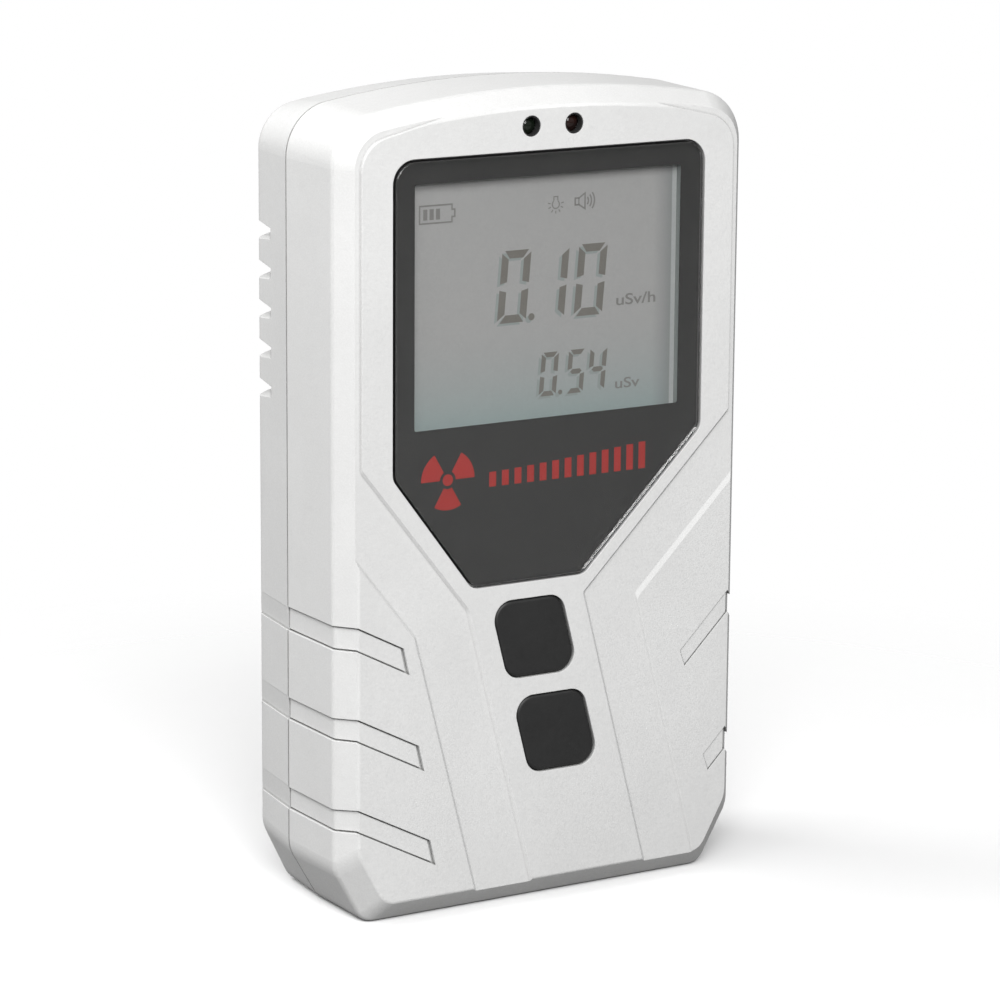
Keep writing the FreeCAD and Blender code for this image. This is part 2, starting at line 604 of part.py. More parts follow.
def lamp_sleeves():
    """Two short black tubes that line the lamp holes and keep the lamps' light apart."""
    sleeves = []
    for x in (-LED_X, LED_X):
        tube = rod_y(x, LED_Z, LED_HOLE_RADIUS - 0.02, Y_FACE + 0.12, SLEEVE_STEP + 0.1)
        flange = rod_y(x, LED_Z, LED_RADIUS + 0.12, SLEEVE_STEP, SLEEVE_STEP + 0.2)
        tube = union([tube, flange])
        sleeves.append(tube.cut(rod_y(x, LED_Z, LED_HOLE_RADIUS - 0.2, Y_FACE - 1, SLEEVE_STEP + 1)))
    return Part.Compound(sleeves)


def lamp(x):
    """Round lamp: dome, barrel, flange and two wires."""
    dome_y = LAMP_TIP + LED_RADIUS
    barrel = rod_y(x, LED_Z, LED_RADIUS, dome_y, -7.4)
    dome = Part.makeSphere(LED_RADIUS, vec(x, dome_y, LED_Z))
    flange = rod_y(x, LED_Z, 1.9, -8.3, -7.4)
    wires = [rod_y(x + side * 1.27, LED_Z, 0.25, -7.6, BOARD_FRONT) for side in (-1, 1)]
    return union([barrel, dome, flange] + wires)


# ---------------------------------------------------------------- board and what it carries
def main_board():
    board = prism(seam_wire(Y_SEAM, WALL + 0.35), BOARD_FRONT, BOARD_BACK)
    cuts = []
    for x in (-SCREW_X, SCREW_X):
        cuts += [rod_y(x, z, 1.2, BOARD_FRONT - 1, BOARD_BACK + 1) for z in CASE_SCREW_Z]
        cuts.append(rod_y(x, BOARD_SCREW_Z, 1.0, BOARD_FRONT - 1, BOARD_BACK + 1))
    return board.cut(Part.Compound(cuts))


def tube_parts():
    """The counting tube along X with its end caps, and the two spring clips that hold it."""
    cap_length = 5.0
    glass = rod_x(TUBE_Y, TUBE_Z, TUBE_RADIUS, -TUBE_HALF + cap_length - 1, TUBE_HALF - cap_length + 1)
    caps = []
    clips = []
    for sign in (-1, 1):
        cap = rod_x(TUBE_Y, TUBE_Z, TUBE_RADIUS + 0.25, TUBE_HALF - cap_length, TUBE_HALF)
        cap = cap.cut(rod_x(TUBE_Y, TUBE_Z, TUBE_RADIUS, 0, TUBE_HALF - cap_length + 1))
        cap = cap.fuse(rod_x(TUBE_Y, TUBE_Z, 1.0, TUBE_HALF, TUBE_HALF + 1.2)).removeSplitter()
        caps.append(cap if sign > 0 else mirrored(cap))
        mid = sign * (TUBE_HALF - cap_length / 2)
        ring = rod_x(TUBE_Y, TUBE_Z, TUBE_RADIUS + 0.8, mid - 1.5, mid + 1.5)
        foot = box(mid - 1.5, mid + 1.5, BOARD_BACK, TUBE_Y - TUBE_RADIUS, TUBE_Z - 2.2, TUBE_Z + 2.2)
        clip = ring.fuse(foot).cut(rod_x(TUBE_Y, TUBE_Z, TUBE_RADIUS + 0.27, mid - 2, mid + 2))
        clips.append(clip.cut(box(mid - 2, mid + 2, TUBE_Y + 2.4, TUBE_Y + 8, TUBE_Z - 7, TUBE_Z + 7)))
    return {"counting_tube": glass, "tube_end_caps": Part.Compound(caps), "tube_clips": Part.Compound(clips)}


def board_parts():
    back = BOARD_BACK
    sounder = rod_y(-SIDE_X, BUZZER_Z, 6.0, back, back + 5.2)
    sounder = sounder.makeFillet(0.5, edges_at(sounder, back + 5.2))
    sounder = sounder.cut(rod_y(-SIDE_X, BUZZER_Z, 1.0, back + 2.5, back + 6))
    coil_z = 46.0
    core = union([rod_y(SIDE_X, coil_z, 4.2, back, back + 1.0),
                  rod_y(SIDE_X, coil_z, 1.8, back + 0.5, back + 7.0),
                  rod_y(SIDE_X, coil_z, 4.2, back + 6.5, back + 7.5)])
    winding = rod_y(SIDE_X, coil_z, 3.6, back + 1.02, back + 6.48)
    winding = winding.cut(rod_y(SIDE_X, coil_z, 1.82, back, back + 8))
    films = [box(SIDE_X - 3.6, SIDE_X + 3.6, back, back + 6.5, z - 1.6, z + 1.6) for z in (37.0, 32.5)]
    films = [f.makeFillet(0.4, edges_at(f, back + 6.5)) for f in films]
    electrolytic = rod_z(-SIDE_X, back + 2.7, 2.5, 25.5, 36.5)
    crystal = box(-SIDE_X - 4.0, -SIDE_X + 4.0, back, back + 3.4, 18.3, 21.7)
    crystal = crystal.makeFillet(1.6, [e for e in crystal.Edges if e.Length < 3.45 and
                                       abs(e.BoundBox.YLength - 3.4) < 1e-3])
    chip = box(SIDE_X - 4.0, SIDE_X + 4.0, back + 0.1, back + 1.4, 18.5, 26.5)
    legs = []
    for i in range(8):
        across = -3.15 + 0.9 * i
        for side in (-1, 1):
            x0, x1 = sorted((SIDE_X + side * 3.9, SIDE_X + side * 4.9))
            legs.append(box(x0, x1, back, back + 0.3, 22.5 + across - 0.18, 22.5 + across + 0.18))
    return {"sounder": sounder, "high_voltage_core": core, "high_voltage_winding": winding,
            "film_capacitors": Part.Compound(films), "smoothing_capacitor": electrolytic,
            "clock_crystal": crystal, "controller_chip": union([chip] + legs)}


# ---------------------------------------------------------------- battery bay
def cell(x, low, upright):
    """Dry cell with its raised contact at the top or, if turned over, at the bottom."""
    can_low = low if upright else low + 0.9
    nub_low = low + CELL_LENGTH - 1.0 if upright else low
    can = rod_z(x, CELL_Y, CELL_RADIUS, can_low, can_low + CELL_LENGTH - 0.9)
    return union([can, rod_z(x, CELL_Y, 1.9, nub_low, nub_low + 1.0)])


def coil_spring(x, low, high, wide_at_low):
    """Conical spring of round wire standing between two heights."""
    wide, narrow = 3.8, 2.2
    height = high - low - SPRING_WIRE
    turns = 3.0
    slope = math.degrees(math.atan((narrow - wide) / height))
    helix = Part.makeHelix(height / turns, height, wide, slope)
    start = vec(wide, 0, 0)
    circle = Part.Wire(Part.makeCircle(SPRING_WIRE / 2, start, vec(0, 1, 0)))
    spring = Part.Wire(helix.Edges).makePipeShell([circle], True, True)
    if not wide_at_low:
        spring.rotate(vec(0, 0, 0), vec(1, 0, 0), 180)
        spring.translate(vec(0, 0, height))
    spring.translate(vec(x, CELL_Y, low + SPRING_WIRE / 2))
    return spring


def battery_parts():
    top = BAY_TOP - PLATE
    spring_height = BAY_TOP - BAY_BOTTOM - 2 * PLATE - CELL_LENGTH
    left_low = BAY_BOTTOM + PLATE + spring_height
    right_low = BAY_BOTTOM + PLATE
    half, y0, y1 = 3.9, CELL_Y - 3.9, CELL_Y + 3.9
    bridge = box(-CELL_X - half, CELL_X + half, y0, y1, BAY_BOTTOM + 0.02, BAY_BOTTOM + PLATE - 0.02)
    plates = [box(x - half, x + half, y0, y1, top + 0.02, BAY_TOP - 0.02) for x in (-CELL_X, CELL_X)]
    springs = [coil_spring(-CELL_X, BAY_BOTTOM + PLATE, left_low, True),
               coil_spring(CELL_X, right_low + CELL_LENGTH, top, False)]
    return {"cell_left": cell(-CELL_X, left_low, True), "cell_right": cell(CELL_X, right_low, False),
            "battery_bridge_plate": bridge, "battery_end_plates": Part.Compound(plates),
            "battery_springs": Part.Compound(springs)}


def battery_door():
    inner = Y_BACK - DOOR_THICK
    plate = box(-DOOR_HALF, DOOR_HALF, inner, Y_BACK, DOOR_BOTTOM, HINGE_Z)
    knuckle = rod_x(HINGE_Y, HINGE_Z, Y_BACK - HINGE_Y, -DOOR_HALF, DOOR_HALF)
    tongue = box(-1.6, 1.6, 9.6, inner + 0.5, BAY_BOTTOM + 0.1, BAY_BOTTOM + 1.1)
    ribs = [box(-10.5, 10.5, inner - 0.25, inner + 0.5, z - 0.5, z + 0.5) for z in (22.0, 34.5, 47.0)]
    door = union([plate, knuckle, tongue] + ribs)
    grips = [box(-4.0, 4.0, Y_BACK - 0.3, Y_BACK + 1, z, z + 0.5)
             for z in (DOOR_BOTTOM + 2.0 + 1.2 * i for i in range(4))]
    bore = rod_x(HINGE_Y, HINGE_Z, HINGE_PIN_RADIUS + 0.05, -DOOR_HALF - 1, DOOR_HALF + 1)
    return door.cut(Part.Compound(grips + [bore]))


# ---------------------------------------------------------------- fasteners
def screw(x, z, seat, head_radius, head_height, shank_radius, tip):
    """Pan-head screw driven from behind, with a cross recess."""
    head = rod_y(x, z, head_radius, seat, seat + head_height)
    head = head.makeFillet(0.3, edges_at(head, seat + head_height))
    shank = rod_y(x, z, shank_radius, tip, seat + 0.1)
    shank = shank.makeChamfer(shank_radius * 0.5, edges_at(shank, tip))
    body = head.fuse(shank).removeSplitter()
    depth = head_height * 0.55
    long, short = head_radius * 0.55, head_radius * 0.16
    slots = [box(x - a, x + a, seat + head_height - depth, seat + head_height + 1, z - b, z + b)
             for a, b in ((long, short), (short, long))]
    return body.cut(Part.Compound(slots))


def fasteners():
    case = [screw(x, z, SCREW_SEAT, 1.8, 1.4, 0.98, -7.6) for x in (-SCREW_X, SCREW_X) for z in CASE_SCREW_Z]
    board = [screw(x, BOARD_SCREW_Z, BOARD_BACK, 1.6, 1.1, 0.78, -7.4) for x in (-SCREW_X, SCREW_X)]
    pin = rod_x(HINGE_Y, HINGE_Z, HINGE_PIN_RADIUS, -DOOR_HALF - 1.6, DOOR_HALF + 1.6)
    return {"case_screws": Part.Compound(case), "board_screws": Part.Compound(board), "door_hinge_pin": pin}


def build():
    nodes = {"front_shell": front_shell(), "rear_shell": rear_shell(), "window_panel": window_panel(),
             "window_mask": window_mask(), "window_adhesive": window_adhesive(), "main_board": main_board(),
             "lamp_sleeves": lamp_sleeves(), "lamp_green": lamp(-LED_X), "lamp_red": lamp(LED_X),
             "battery_door": battery_door()}
    for name, centre in BUTTONS.items():
        nodes["button_%s" % name] = button_cap(centre)
        nodes["switch_%s_plunger" % name] = switch_plunger(centre)
        nodes["switch_%s_body" % name] = switch_body(centre)
    for group in (display_parts(), tube_parts(), board_parts(), battery_parts(), fasteners()):
        nodes.update(group)
    return nodes


def main():
    os.makedirs("parts", exist_ok=True)
    for name, shape in build().items():
        export(name, shape)


if __name__ == "__main__":
    main()
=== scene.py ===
"""Pocket radiation dose meter: finishes, printed display and stage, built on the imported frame."""

import json
import logging
import math
from dataclasses import dataclass, field, replace
from enum import Enum
from typing import Sequence

import bmesh
import bpy
from mathutils import Matrix, Vector


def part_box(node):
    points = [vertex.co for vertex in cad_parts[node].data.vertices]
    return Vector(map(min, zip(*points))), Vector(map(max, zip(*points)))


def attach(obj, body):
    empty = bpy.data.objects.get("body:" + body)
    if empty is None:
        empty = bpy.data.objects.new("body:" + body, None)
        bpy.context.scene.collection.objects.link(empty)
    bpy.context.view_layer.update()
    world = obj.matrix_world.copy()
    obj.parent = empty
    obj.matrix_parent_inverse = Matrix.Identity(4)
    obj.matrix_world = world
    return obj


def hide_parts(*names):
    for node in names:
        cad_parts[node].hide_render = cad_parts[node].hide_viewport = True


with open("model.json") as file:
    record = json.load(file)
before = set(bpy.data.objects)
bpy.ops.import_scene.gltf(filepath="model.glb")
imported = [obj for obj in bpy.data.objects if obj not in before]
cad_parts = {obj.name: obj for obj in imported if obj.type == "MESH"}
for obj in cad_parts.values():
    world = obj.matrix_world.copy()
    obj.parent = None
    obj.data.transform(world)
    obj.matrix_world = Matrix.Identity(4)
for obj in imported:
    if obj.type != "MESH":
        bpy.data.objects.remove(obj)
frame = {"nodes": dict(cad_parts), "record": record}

LOG = logging.getLogger("dose_meter")
MM = 0.001
Colour = tuple[float, float, float]
Point = tuple[float, float]
Place = tuple[float, float, float]


class Slot(Enum):
    """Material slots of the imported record."""

    SILVER_CASE = "silver_case"
    WINDOW_CLEAR = "window_clear"
    WINDOW_PRINT = "window_print"
    ADHESIVE_TAPE = "adhesive_tape"
    BLACK_BUTTON = "black_button"
    DISPLAY_GLASS = "display_glass"
    LAMP_SLEEVE = "lamp_sleeve"
    LIGHT_GUIDE = "light_guide"
    CARRIER_PLASTIC = "carrier_plastic"
    CONNECTOR_RUBBER = "connector_rubber"
    CIRCUIT_BOARD = "circuit_board"
    GREEN_LAMP = "green_lamp"
    RED_LAMP = "red_lamp"
    SWITCH_PLASTIC = "switch_plastic"
    SWITCH_KEY = "switch_key"
    STEEL = "steel"
    TUBE_METAL = "tube_metal"
    TUBE_CAP = "tube_cap"
    CONTACT_SPRING = "contact_spring"
    SOUNDER_CASE = "sounder_case"
    FERRITE = "ferrite"
    COPPER_WIRE = "copper_wire"
    FILM_CAPACITOR = "film_capacitor"
    CAN_SLEEVE = "can_sleeve"
    CHIP_EPOXY = "chip_epoxy"
    CELL_WRAP = "cell_wrap"


# ---------------------------------------------------------------- node trees
class Graph:
    """Adds and joins nodes in one shader tree."""

    def __init__(self, tree: bpy.types.NodeTree) -> None:
        """Keeps the tree.

        Args:
            tree: The node tree to fill.
        """
        self.tree = tree

    def add(self, kind: str, inputs: dict[str, object] | None = None, **settings: object) -> bpy.types.Node:
        """Adds a node.

        Args:
            kind: Node type without the ShaderNode prefix.
            inputs: Values or sockets for the node's inputs, by name or by index.
            settings: Attributes of the node.

        Returns:
            The new node.
        """
        node = self.tree.nodes.new("ShaderNode" + kind)
        for key, value in settings.items():
            setattr(node, key, value)
        for key, value in (inputs or {}).items():
            socket = node.inputs[int(key) if key.isdigit() else key]
            if isinstance(value, bpy.types.NodeSocket):
                self.tree.links.new(value, socket)
            else:
                socket.default_value = value
        return node

    def math(self, operation: str, first: object, second: object = 0.0) -> bpy.types.NodeSocket:
        """Adds a Math node.

        Args:
            operation: The node's operation.
            first: First value or socket.
            second: Second value or socket.

        Returns:
            The node's output.
        """
        return self.add("Math", {"0": first, "1": second}, operation=operation).outputs[0]

    def span(self, value: object, low: float, high: float, to_low: float,
             to_high: float) -> bpy.types.NodeSocket:
        """Maps a value from one range to another and holds it inside the second.

        Args:
            value: Socket to map.
            low: Start of the first range.
            high: End of the first range.
            to_low: Start of the second range.
            to_high: End of the second range.

        Returns:
            The mapped value's socket.
        """
        node = self.add("MapRange", {"Value": value, "From Min": low, "From Max": high, "To Min": to_low,
                                     "To Max": to_high})
        return node.outputs["Result"]

    def blend(self, factor: object, first: object, second: object, kind: str = "MIX") -> bpy.types.NodeSocket:
        """Mixes two colours.

        Args:
            factor: Share of the second colour.
            first: Colour or socket.
            second: Colour or socket.
            kind: Blend type.

        Returns:
            The mixed colour's socket.
        """
        node = self.add("Mix", data_type="RGBA", blend_type=kind)
        for index, value in ((0, factor), (6, first), (7, second)):
            if isinstance(value, bpy.types.NodeSocket):
                self.tree.links.new(value, node.inputs[index])
            elif index == 0:
                node.inputs[index].default_value = value
            else:
                node.inputs[index].default_value = (*value, 1.0)
        return node.outputs[2]


class Effects:
    """Node groups that several finishes share. Each is built once."""

    @staticmethod
    def start(name: str, inputs: dict[str, float],
              outputs: Sequence[str]) -> tuple[Graph, dict[str, object], bpy.types.Node]:
        """Makes an empty group whose first input is a vector.

        Args:
            name: Name of the group.
            inputs: Further number inputs with their defaults.
            outputs: Names of the number outputs.

        Returns:
            The group's graph, its input sockets by name, and its output node.
        """
        tree = bpy.data.node_groups.new(name, "ShaderNodeTree")
        tree.interface.new_socket("Vector", in_out="INPUT", socket_type="NodeSocketVector")
        for key, value in inputs.items():
            socket = tree.interface.new_socket(key, in_out="INPUT", socket_type="NodeSocketFloat")
            socket.default_value = value
        for key in outputs:
            tree.interface.new_socket(key, in_out="OUTPUT", socket_type="NodeSocketFloat")
        source = tree.nodes.new("NodeGroupInput")
        return Graph(tree), {s.name: s for s in source.outputs if s.name}, tree.nodes.new("NodeGroupOutput")

    @staticmethod
    def fine_grain() -> bpy.types.NodeTree:
        """Fine uneven surface of a spark-eroded mould or of dried paint.

        Returns:
            A group with outputs Height and Tone.
        """
        name = "fine_grain"
        if name in bpy.data.node_groups:
            return bpy.data.node_groups[name]
        graph, given, out = Effects.start(name, {"Scale": 4000.0, "Softness": 0.5}, ("Height", "Tone"))
        fine = graph.add("TexNoise", {"Vector": given["Vector"], "Scale": given["Scale"], "Detail": 3.0,
                                      "Roughness": given["Softness"]})
        coarse = graph.add("TexNoise", {"Vector": given["Vector"],
                                        "Scale": graph.math("MULTIPLY", given["Scale"], 0.22), "Detail": 2.0})
        height = graph.math("ADD", graph.math("MULTIPLY", fine.outputs["Fac"], 0.65),
                            graph.math("MULTIPLY", coarse.outputs["Fac"], 0.35))
        graph.tree.links.new(height, out.inputs["Height"])
        graph.tree.links.new(graph.span(height, 0.35, 0.65, 0.0, 1.0), out.inputs["Tone"])
        return graph.tree

    @staticmethod
    def flakes() -> bpy.types.NodeTree:
        """Metal flakes in paint: each cell has its own brightness.

        Returns:
            A group with output Sparkle.
        """
        name = "metal_flakes"
        if name in bpy.data.node_groups:
            return bpy.data.node_groups[name]
        graph, given, out = Effects.start(name, {"Scale": 6000.0, "Share": 0.25}, ("Sparkle",))
        cells = graph.add("TexVoronoi", {"Vector": given["Vector"], "Scale": given["Scale"]})
        pick = graph.add("SeparateColor", {"Color": cells.outputs["Color"]}).outputs["Red"]
        lit = graph.math("GREATER_THAN", pick, graph.math("SUBTRACT", 1.0, given["Share"]))
        graph.tree.links.new(graph.math("MULTIPLY", pick, lit), out.inputs["Sparkle"])
        return graph.tree

    @staticmethod
    def clouds() -> bpy.types.NodeTree:
        """Slow change over a surface, as of handling, moulding flow or film thickness.

        Returns:
            A group with output Cloud.
        """
        name = "slow_clouds"
        if name in bpy.data.node_groups:
            return bpy.data.node_groups[name]
        graph, given, out = Effects.start(name, {"Scale": 120.0, "Low": 0.0, "High": 1.0}, ("Cloud",))
        noise = graph.add("TexNoise", {"Vector": given["Vector"], "Scale": given["Scale"], "Detail": 4.0,
                                       "Roughness": 0.55})
        spread = graph.add("MapRange", {"Value": noise.outputs["Fac"], "From Min": 0.3, "From Max": 0.7,
                                        "To Min": given["Low"], "To Max": given["High"]})
        graph.tree.links.new(spread.outputs["Result"], out.inputs["Cloud"])
        return graph.tree

    @staticmethod
    def streaks() -> bpy.types.NodeTree:
        """Fine lines along Z, as drawing or brushing leaves on metal.

        Returns:
            A group with output Line.
        """
        name = "drawn_streaks"
        if name in bpy.data.node_groups:
            return bpy.data.node_groups[name]
        graph, given, out = Effects.start(name, {"Scale": 9000.0, "Stretch": 0.03}, ("Line",))
        squeeze = graph.add("CombineXYZ", {"X": 1.0, "Y": 1.0, "Z": given["Stretch"]})
        flat = graph.add("VectorMath", {"0": given["Vector"], "1": squeeze.outputs[0]}, operation="MULTIPLY")
        noise = graph.add("TexNoise", {"Vector": flat.outputs[0], "Scale": given["Scale"], "Detail": 2.0})
        graph.tree.links.new(noise.outputs["Fac"], out.inputs["Line"])
        return graph.tree


class Recipe:
    """One material in the making: its tree, its Principled shader and its Object coordinates."""

    def __init__(self, name: str, base: Colour, roughness: float, metallic: float = 0.0) -> None:
        """Starts a material.

        Args:
            name: Name of the material.
            base: Its plain colour.
            roughness: Its plain roughness.
            metallic: Its metallic value.
        """
        self.material = bpy.data.materials.new(name)
        self.material.use_nodes = True
        self.graph = Graph(self.material.node_tree)
        self.material.node_tree.nodes.clear()
        self.shader = self.graph.add("BsdfPrincipled", {"Base Color": (*base, 1.0), "Roughness": roughness,
                                                        "Metallic": metallic})
        self.output = self.graph.add("OutputMaterial", {"Surface": self.shader.outputs[0]})
        self.place = self.graph.add("TexCoord").outputs["Object"]

    def effect(self, tree: bpy.types.NodeTree, **values: object) -> dict[str, bpy.types.NodeSocket]:
        """Places a shared effect.

        Args:
            tree: The effect's group.
            values: Its number inputs.

        Returns:
            Its output sockets by name.
        """
        node = self.graph.add("Group", node_tree=tree)
        self.graph.tree.links.new(self.place, node.inputs["Vector"])
        for key, value in values.items():
            node.inputs[key].default_value = value
        return {s.name: s for s in node.outputs}

    def feed(self, socket: str, source: bpy.types.NodeSocket) -> None:
        """Feeds one input of the shader.

        Args:
            socket: The input's name.
            source: What drives it.
        """
        self.graph.tree.links.new(source, self.shader.inputs[socket])

    def relief(self, height: bpy.types.NodeSocket, depth_mm: float, strength: float = 1.0,
               soften_mm: float = 0.0) -> None:
        """Gives the surface small relief, and softens its sharp edges.

        Args:
            height: Height pattern from 0 to 1.
            depth_mm: Depth that the pattern stands for.
            strength: Share of the relief that shows.
            soften_mm: Radius of the edge rounding, 0 for none.
        """
        bump = self.graph.add("Bump", {"Height": height, "Distance": depth_mm * MM, "Strength": strength})
        if soften_mm:
            rounding = self.graph.add("Bevel", {"Radius": soften_mm * MM}, samples=6)
            self.graph.tree.links.new(rounding.outputs[0], bump.inputs["Normal"])
        self.feed("Normal", bump.outputs[0])

    def axis(self, name: str) -> bpy.types.NodeSocket:
        """One Object coordinate.

        Args:
            name: X, Y or Z.

        Returns:
            Its socket, in metres.
        """
        return self.graph.add("SeparateXYZ", {"Vector": self.place}).outputs[name]


# ---------------------------------------------------------------- finishes
@dataclass(frozen=True)
class SilverPaint:
    """Silver metallic paint on moulded plastic, darkened in creases and grooves by painted shade."""

    name: str = "silver_paint"
    base: Colour = (0.70, 0.70, 0.695)
    dull: Colour = (0.61, 0.61, 0.605)
    sparkle: Colour = (0.93, 0.93, 0.93)
    # Colour, reach and share of the painted shade in creases and grooves.
    crease_shade: Colour = (0.12, 0.12, 0.115)
    crease_mm: float = 0.35
    crease_share: float = 0.6

    def build(self) -> bpy.types.Material:
        """Makes the material.

        Returns:
            The finished material.
        """
        mix = Recipe(self.name, self.base, 0.5, 0.15)
        mix.shader.inputs["Specular IOR Level"].default_value = 0.25
        grain = mix.effect(Effects.fine_grain(), Scale=3600.0, Softness=0.55)
        flakes = mix.effect(Effects.flakes(), Scale=6500.0, Share=0.3)
        clouds = mix.effect(Effects.clouds(), Scale=55.0, Low=0.0, High=0.5)
        tone = mix.graph.blend(clouds["Cloud"], self.base, self.dull)
        tone = mix.graph.blend(mix.graph.math("MULTIPLY", grain["Tone"], 0.4), tone, self.dull)
        tone = mix.graph.blend(mix.graph.math("MULTIPLY", flakes["Sparkle"], 0.18), tone, self.sparkle)
        # Painted shade: ambient occlusion pulls the paint towards a near-black tone in narrow creases and
        # grooves.
        nearby = mix.graph.add("AmbientOcclusion", {"Distance": self.crease_mm * MM}, samples=6)
        crease_shade = mix.graph.span(nearby.outputs["AO"], 0.45, 0.95, self.crease_share, 0.0)
        mix.feed("Base Color", mix.graph.blend(crease_shade, tone, self.crease_shade))
        mix.feed("Roughness", mix.graph.span(grain["Tone"], 0.0, 1.0, 0.58, 0.68))
        mix.feed("Metallic", mix.graph.span(flakes["Sparkle"], 0.0, 1.0, 0.08, 0.35))
        mix.relief(grain["Height"], 0.06, 0.4, 0.12)
        return mix.material


@dataclass(frozen=True)
class Moulding:
    """Moulded plastic, rubber, epoxy or ceramic with its own grain."""

    name: str
    base: Colour
    tint: Colour
    roughness: float = 0.45
    grain_per_m: float = 3000.0
    grain_mm: float = 0.02
    soften_mm: float = 0.0
    coat: float = 0.0

    def build(self) -> bpy.types.Material:
        """Makes the material.

        Returns:
            The finished material.
        """
        mix = Recipe(self.name, self.base, self.roughness)
        mix.shader.inputs["Coat Weight"].default_value = self.coat
        grain = mix.effect(Effects.fine_grain(), Scale=self.grain_per_m, Softness=0.5)
        clouds = mix.effect(Effects.clouds(), Scale=160.0, Low=0.0, High=0.7)
        tone = mix.graph.blend(clouds["Cloud"], self.base, self.tint)
        specks = mix.graph.math("MULTIPLY", grain["Tone"], 0.35)
        mix.feed("Base Color", mix.graph.blend(specks, tone, self.tint))
        rough = self.roughness
        mix.feed("Roughness", mix.graph.span(grain["Tone"], 0.0, 1.0, rough - 0.06, rough + 0.08))
        mix.relief(grain["Height"], self.grain_mm, 0.7, self.soften_mm)
        return mix.material


@dataclass(frozen=True)
class DrawnMetal:
    """Drawn, plated or turned metal with fine lines."""

    name: str
    base: Colour
    tint: Colour
    roughness: float = 0.3
    line_mm: float = 0.008

    def build(self) -> bpy.types.Material:
        """Makes the material.

        Returns:
            The finished material.
        """
        mix = Recipe(self.name, self.base, self.roughness, 1.0)
        lines = mix.effect(Effects.streaks(), Scale=9000.0, Stretch=0.03)
        clouds = mix.effect(Effects.clouds(), Scale=300.0, Low=0.0, High=0.8)
        mix.feed("Base Color", mix.graph.blend(clouds["Cloud"], self.base, self.tint))
        rough = self.roughness
        mix.feed("Roughness", mix.graph.span(lines["Line"], 0.3, 0.7, rough - 0.08, rough + 0.12))
        mix.relief(lines["Line"], self.line_mm, 0.6)
        return mix.material


@dataclass(frozen=True)
class ClearAcrylic:
    """Polished clear plastic. Lamps pass it so that what is behind it is lit."""

    name: str = "clear_acrylic"

    def build(self) -> bpy.types.Material:
        """Makes the material.

        Returns:
            The finished material.
        """
        mix = Recipe(self.name, (0.98, 0.98, 0.98), 0.01)
        mix.shader.inputs["Transmission Weight"].default_value = 1.0
        mix.shader.inputs["IOR"].default_value = 1.49
        smears = mix.effect(Effects.clouds(), Scale=90.0, Low=0.0, High=0.012)
        mix.feed("Roughness", smears["Cloud"])
        clear = mix.graph.add("BsdfTransparent", {"Color": (0.94, 0.94, 0.94, 1.0)})
        path = mix.graph.add("LightPath")
        lamps = mix.graph.math("MAXIMUM", path.outputs["Is Shadow Ray"], path.outputs["Is Diffuse Ray"])
        choose = mix.graph.add("MixShader", {"0": lamps, "1": mix.shader.outputs[0], "2": clear.outputs[0]})
        mix.graph.tree.links.new(choose.outputs[0], mix.output.inputs["Surface"])
        return mix.material


@dataclass(frozen=True)
class LampEpoxy:
    """Tinted clear epoxy of an indicator lamp, with faint flow lines."""

    name: str
    tint: Colour
    deep: Colour

    def build(self) -> bpy.types.Material:
        """Makes the material.

        Returns:
            The finished material.
        """
        mix = Recipe(self.name, self.tint, 0.08)
        mix.shader.inputs["Transmission Weight"].default_value = 0.3
        mix.shader.inputs["IOR"].default_value = 1.5
        clouds = mix.effect(Effects.clouds(), Scale=900.0, Low=0.0, High=1.0)
        mix.feed("Base Color", mix.graph.blend(clouds["Cloud"], self.tint, self.deep))
        mix.feed("Roughness", mix.graph.span(clouds["Cloud"], 0.0, 1.0, 0.05, 0.16))
        return mix.material


@dataclass(frozen=True)
class DisplayField:
    """Grey polarised face of the display, cooler towards its foot, with painted shade towards its right edge
    and a painted highlight where the lit wall of the opening shows there.
    """

    name: str = "display_field"
    grey: Colour = (0.31, 0.31, 0.305)
    cool: Colour = (0.245, 0.295, 0.29)
    grain_and_side_shade: Colour = (0.17, 0.18, 0.18)
    wall_highlight: Colour = (0.33, 0.345, 0.34)
    cool_from_mm: float = 77.0
    cool_to_mm: float = 64.0
    strip_from_mm: float = 18.9
    shade_width_mm: float = 2.8
    shade_stop_mm: float = 0.15
    strip_blur_mm: float = 0.12

    def build(self) -> bpy.types.Material:
        """Makes the material.

        Returns:
            The finished material.
        """
        mix = Recipe(self.name, self.grey, 0.45)
        grain = mix.effect(Effects.fine_grain(), Scale=2600.0, Softness=0.5)
        down = mix.graph.span(mix.axis("Z"), self.cool_from_mm * MM, self.cool_to_mm * MM, 0.0, 1.0)
        tone = mix.graph.blend(mix.graph.math("POWER", down, 2.0), self.grey, self.cool)
        start = self.strip_from_mm
        across = mix.axis("X")
        # Painted shadow: darker towards the right edge, where the window's frame shades the display.
        shade_from, shade_to = (start - self.shade_width_mm) * MM, (start - self.shade_stop_mm) * MM
        tone = mix.graph.blend(mix.graph.span(across, shade_from, shade_to, 0.0, 0.75), tone, self.grain_and_side_shade)
        # Painted highlight: lighter along the far right edge, standing in for the lit wall of the opening.
        lit = mix.graph.span(across, (start - self.strip_blur_mm) * MM, start * MM, 0.0, 1.0)
        tone = mix.graph.blend(lit, tone, self.wall_highlight)
        specks = mix.graph.math("MULTIPLY", grain["Tone"], 0.14)
        mix.feed("Base Color", mix.graph.blend(specks, tone, self.grain_and_side_shade))
        mix.feed("Roughness", mix.graph.span(grain["Tone"], 0.0, 1.0, 0.4, 0.5))
        mix.relief(grain["Height"], 0.004, 0.5)
        return mix.material


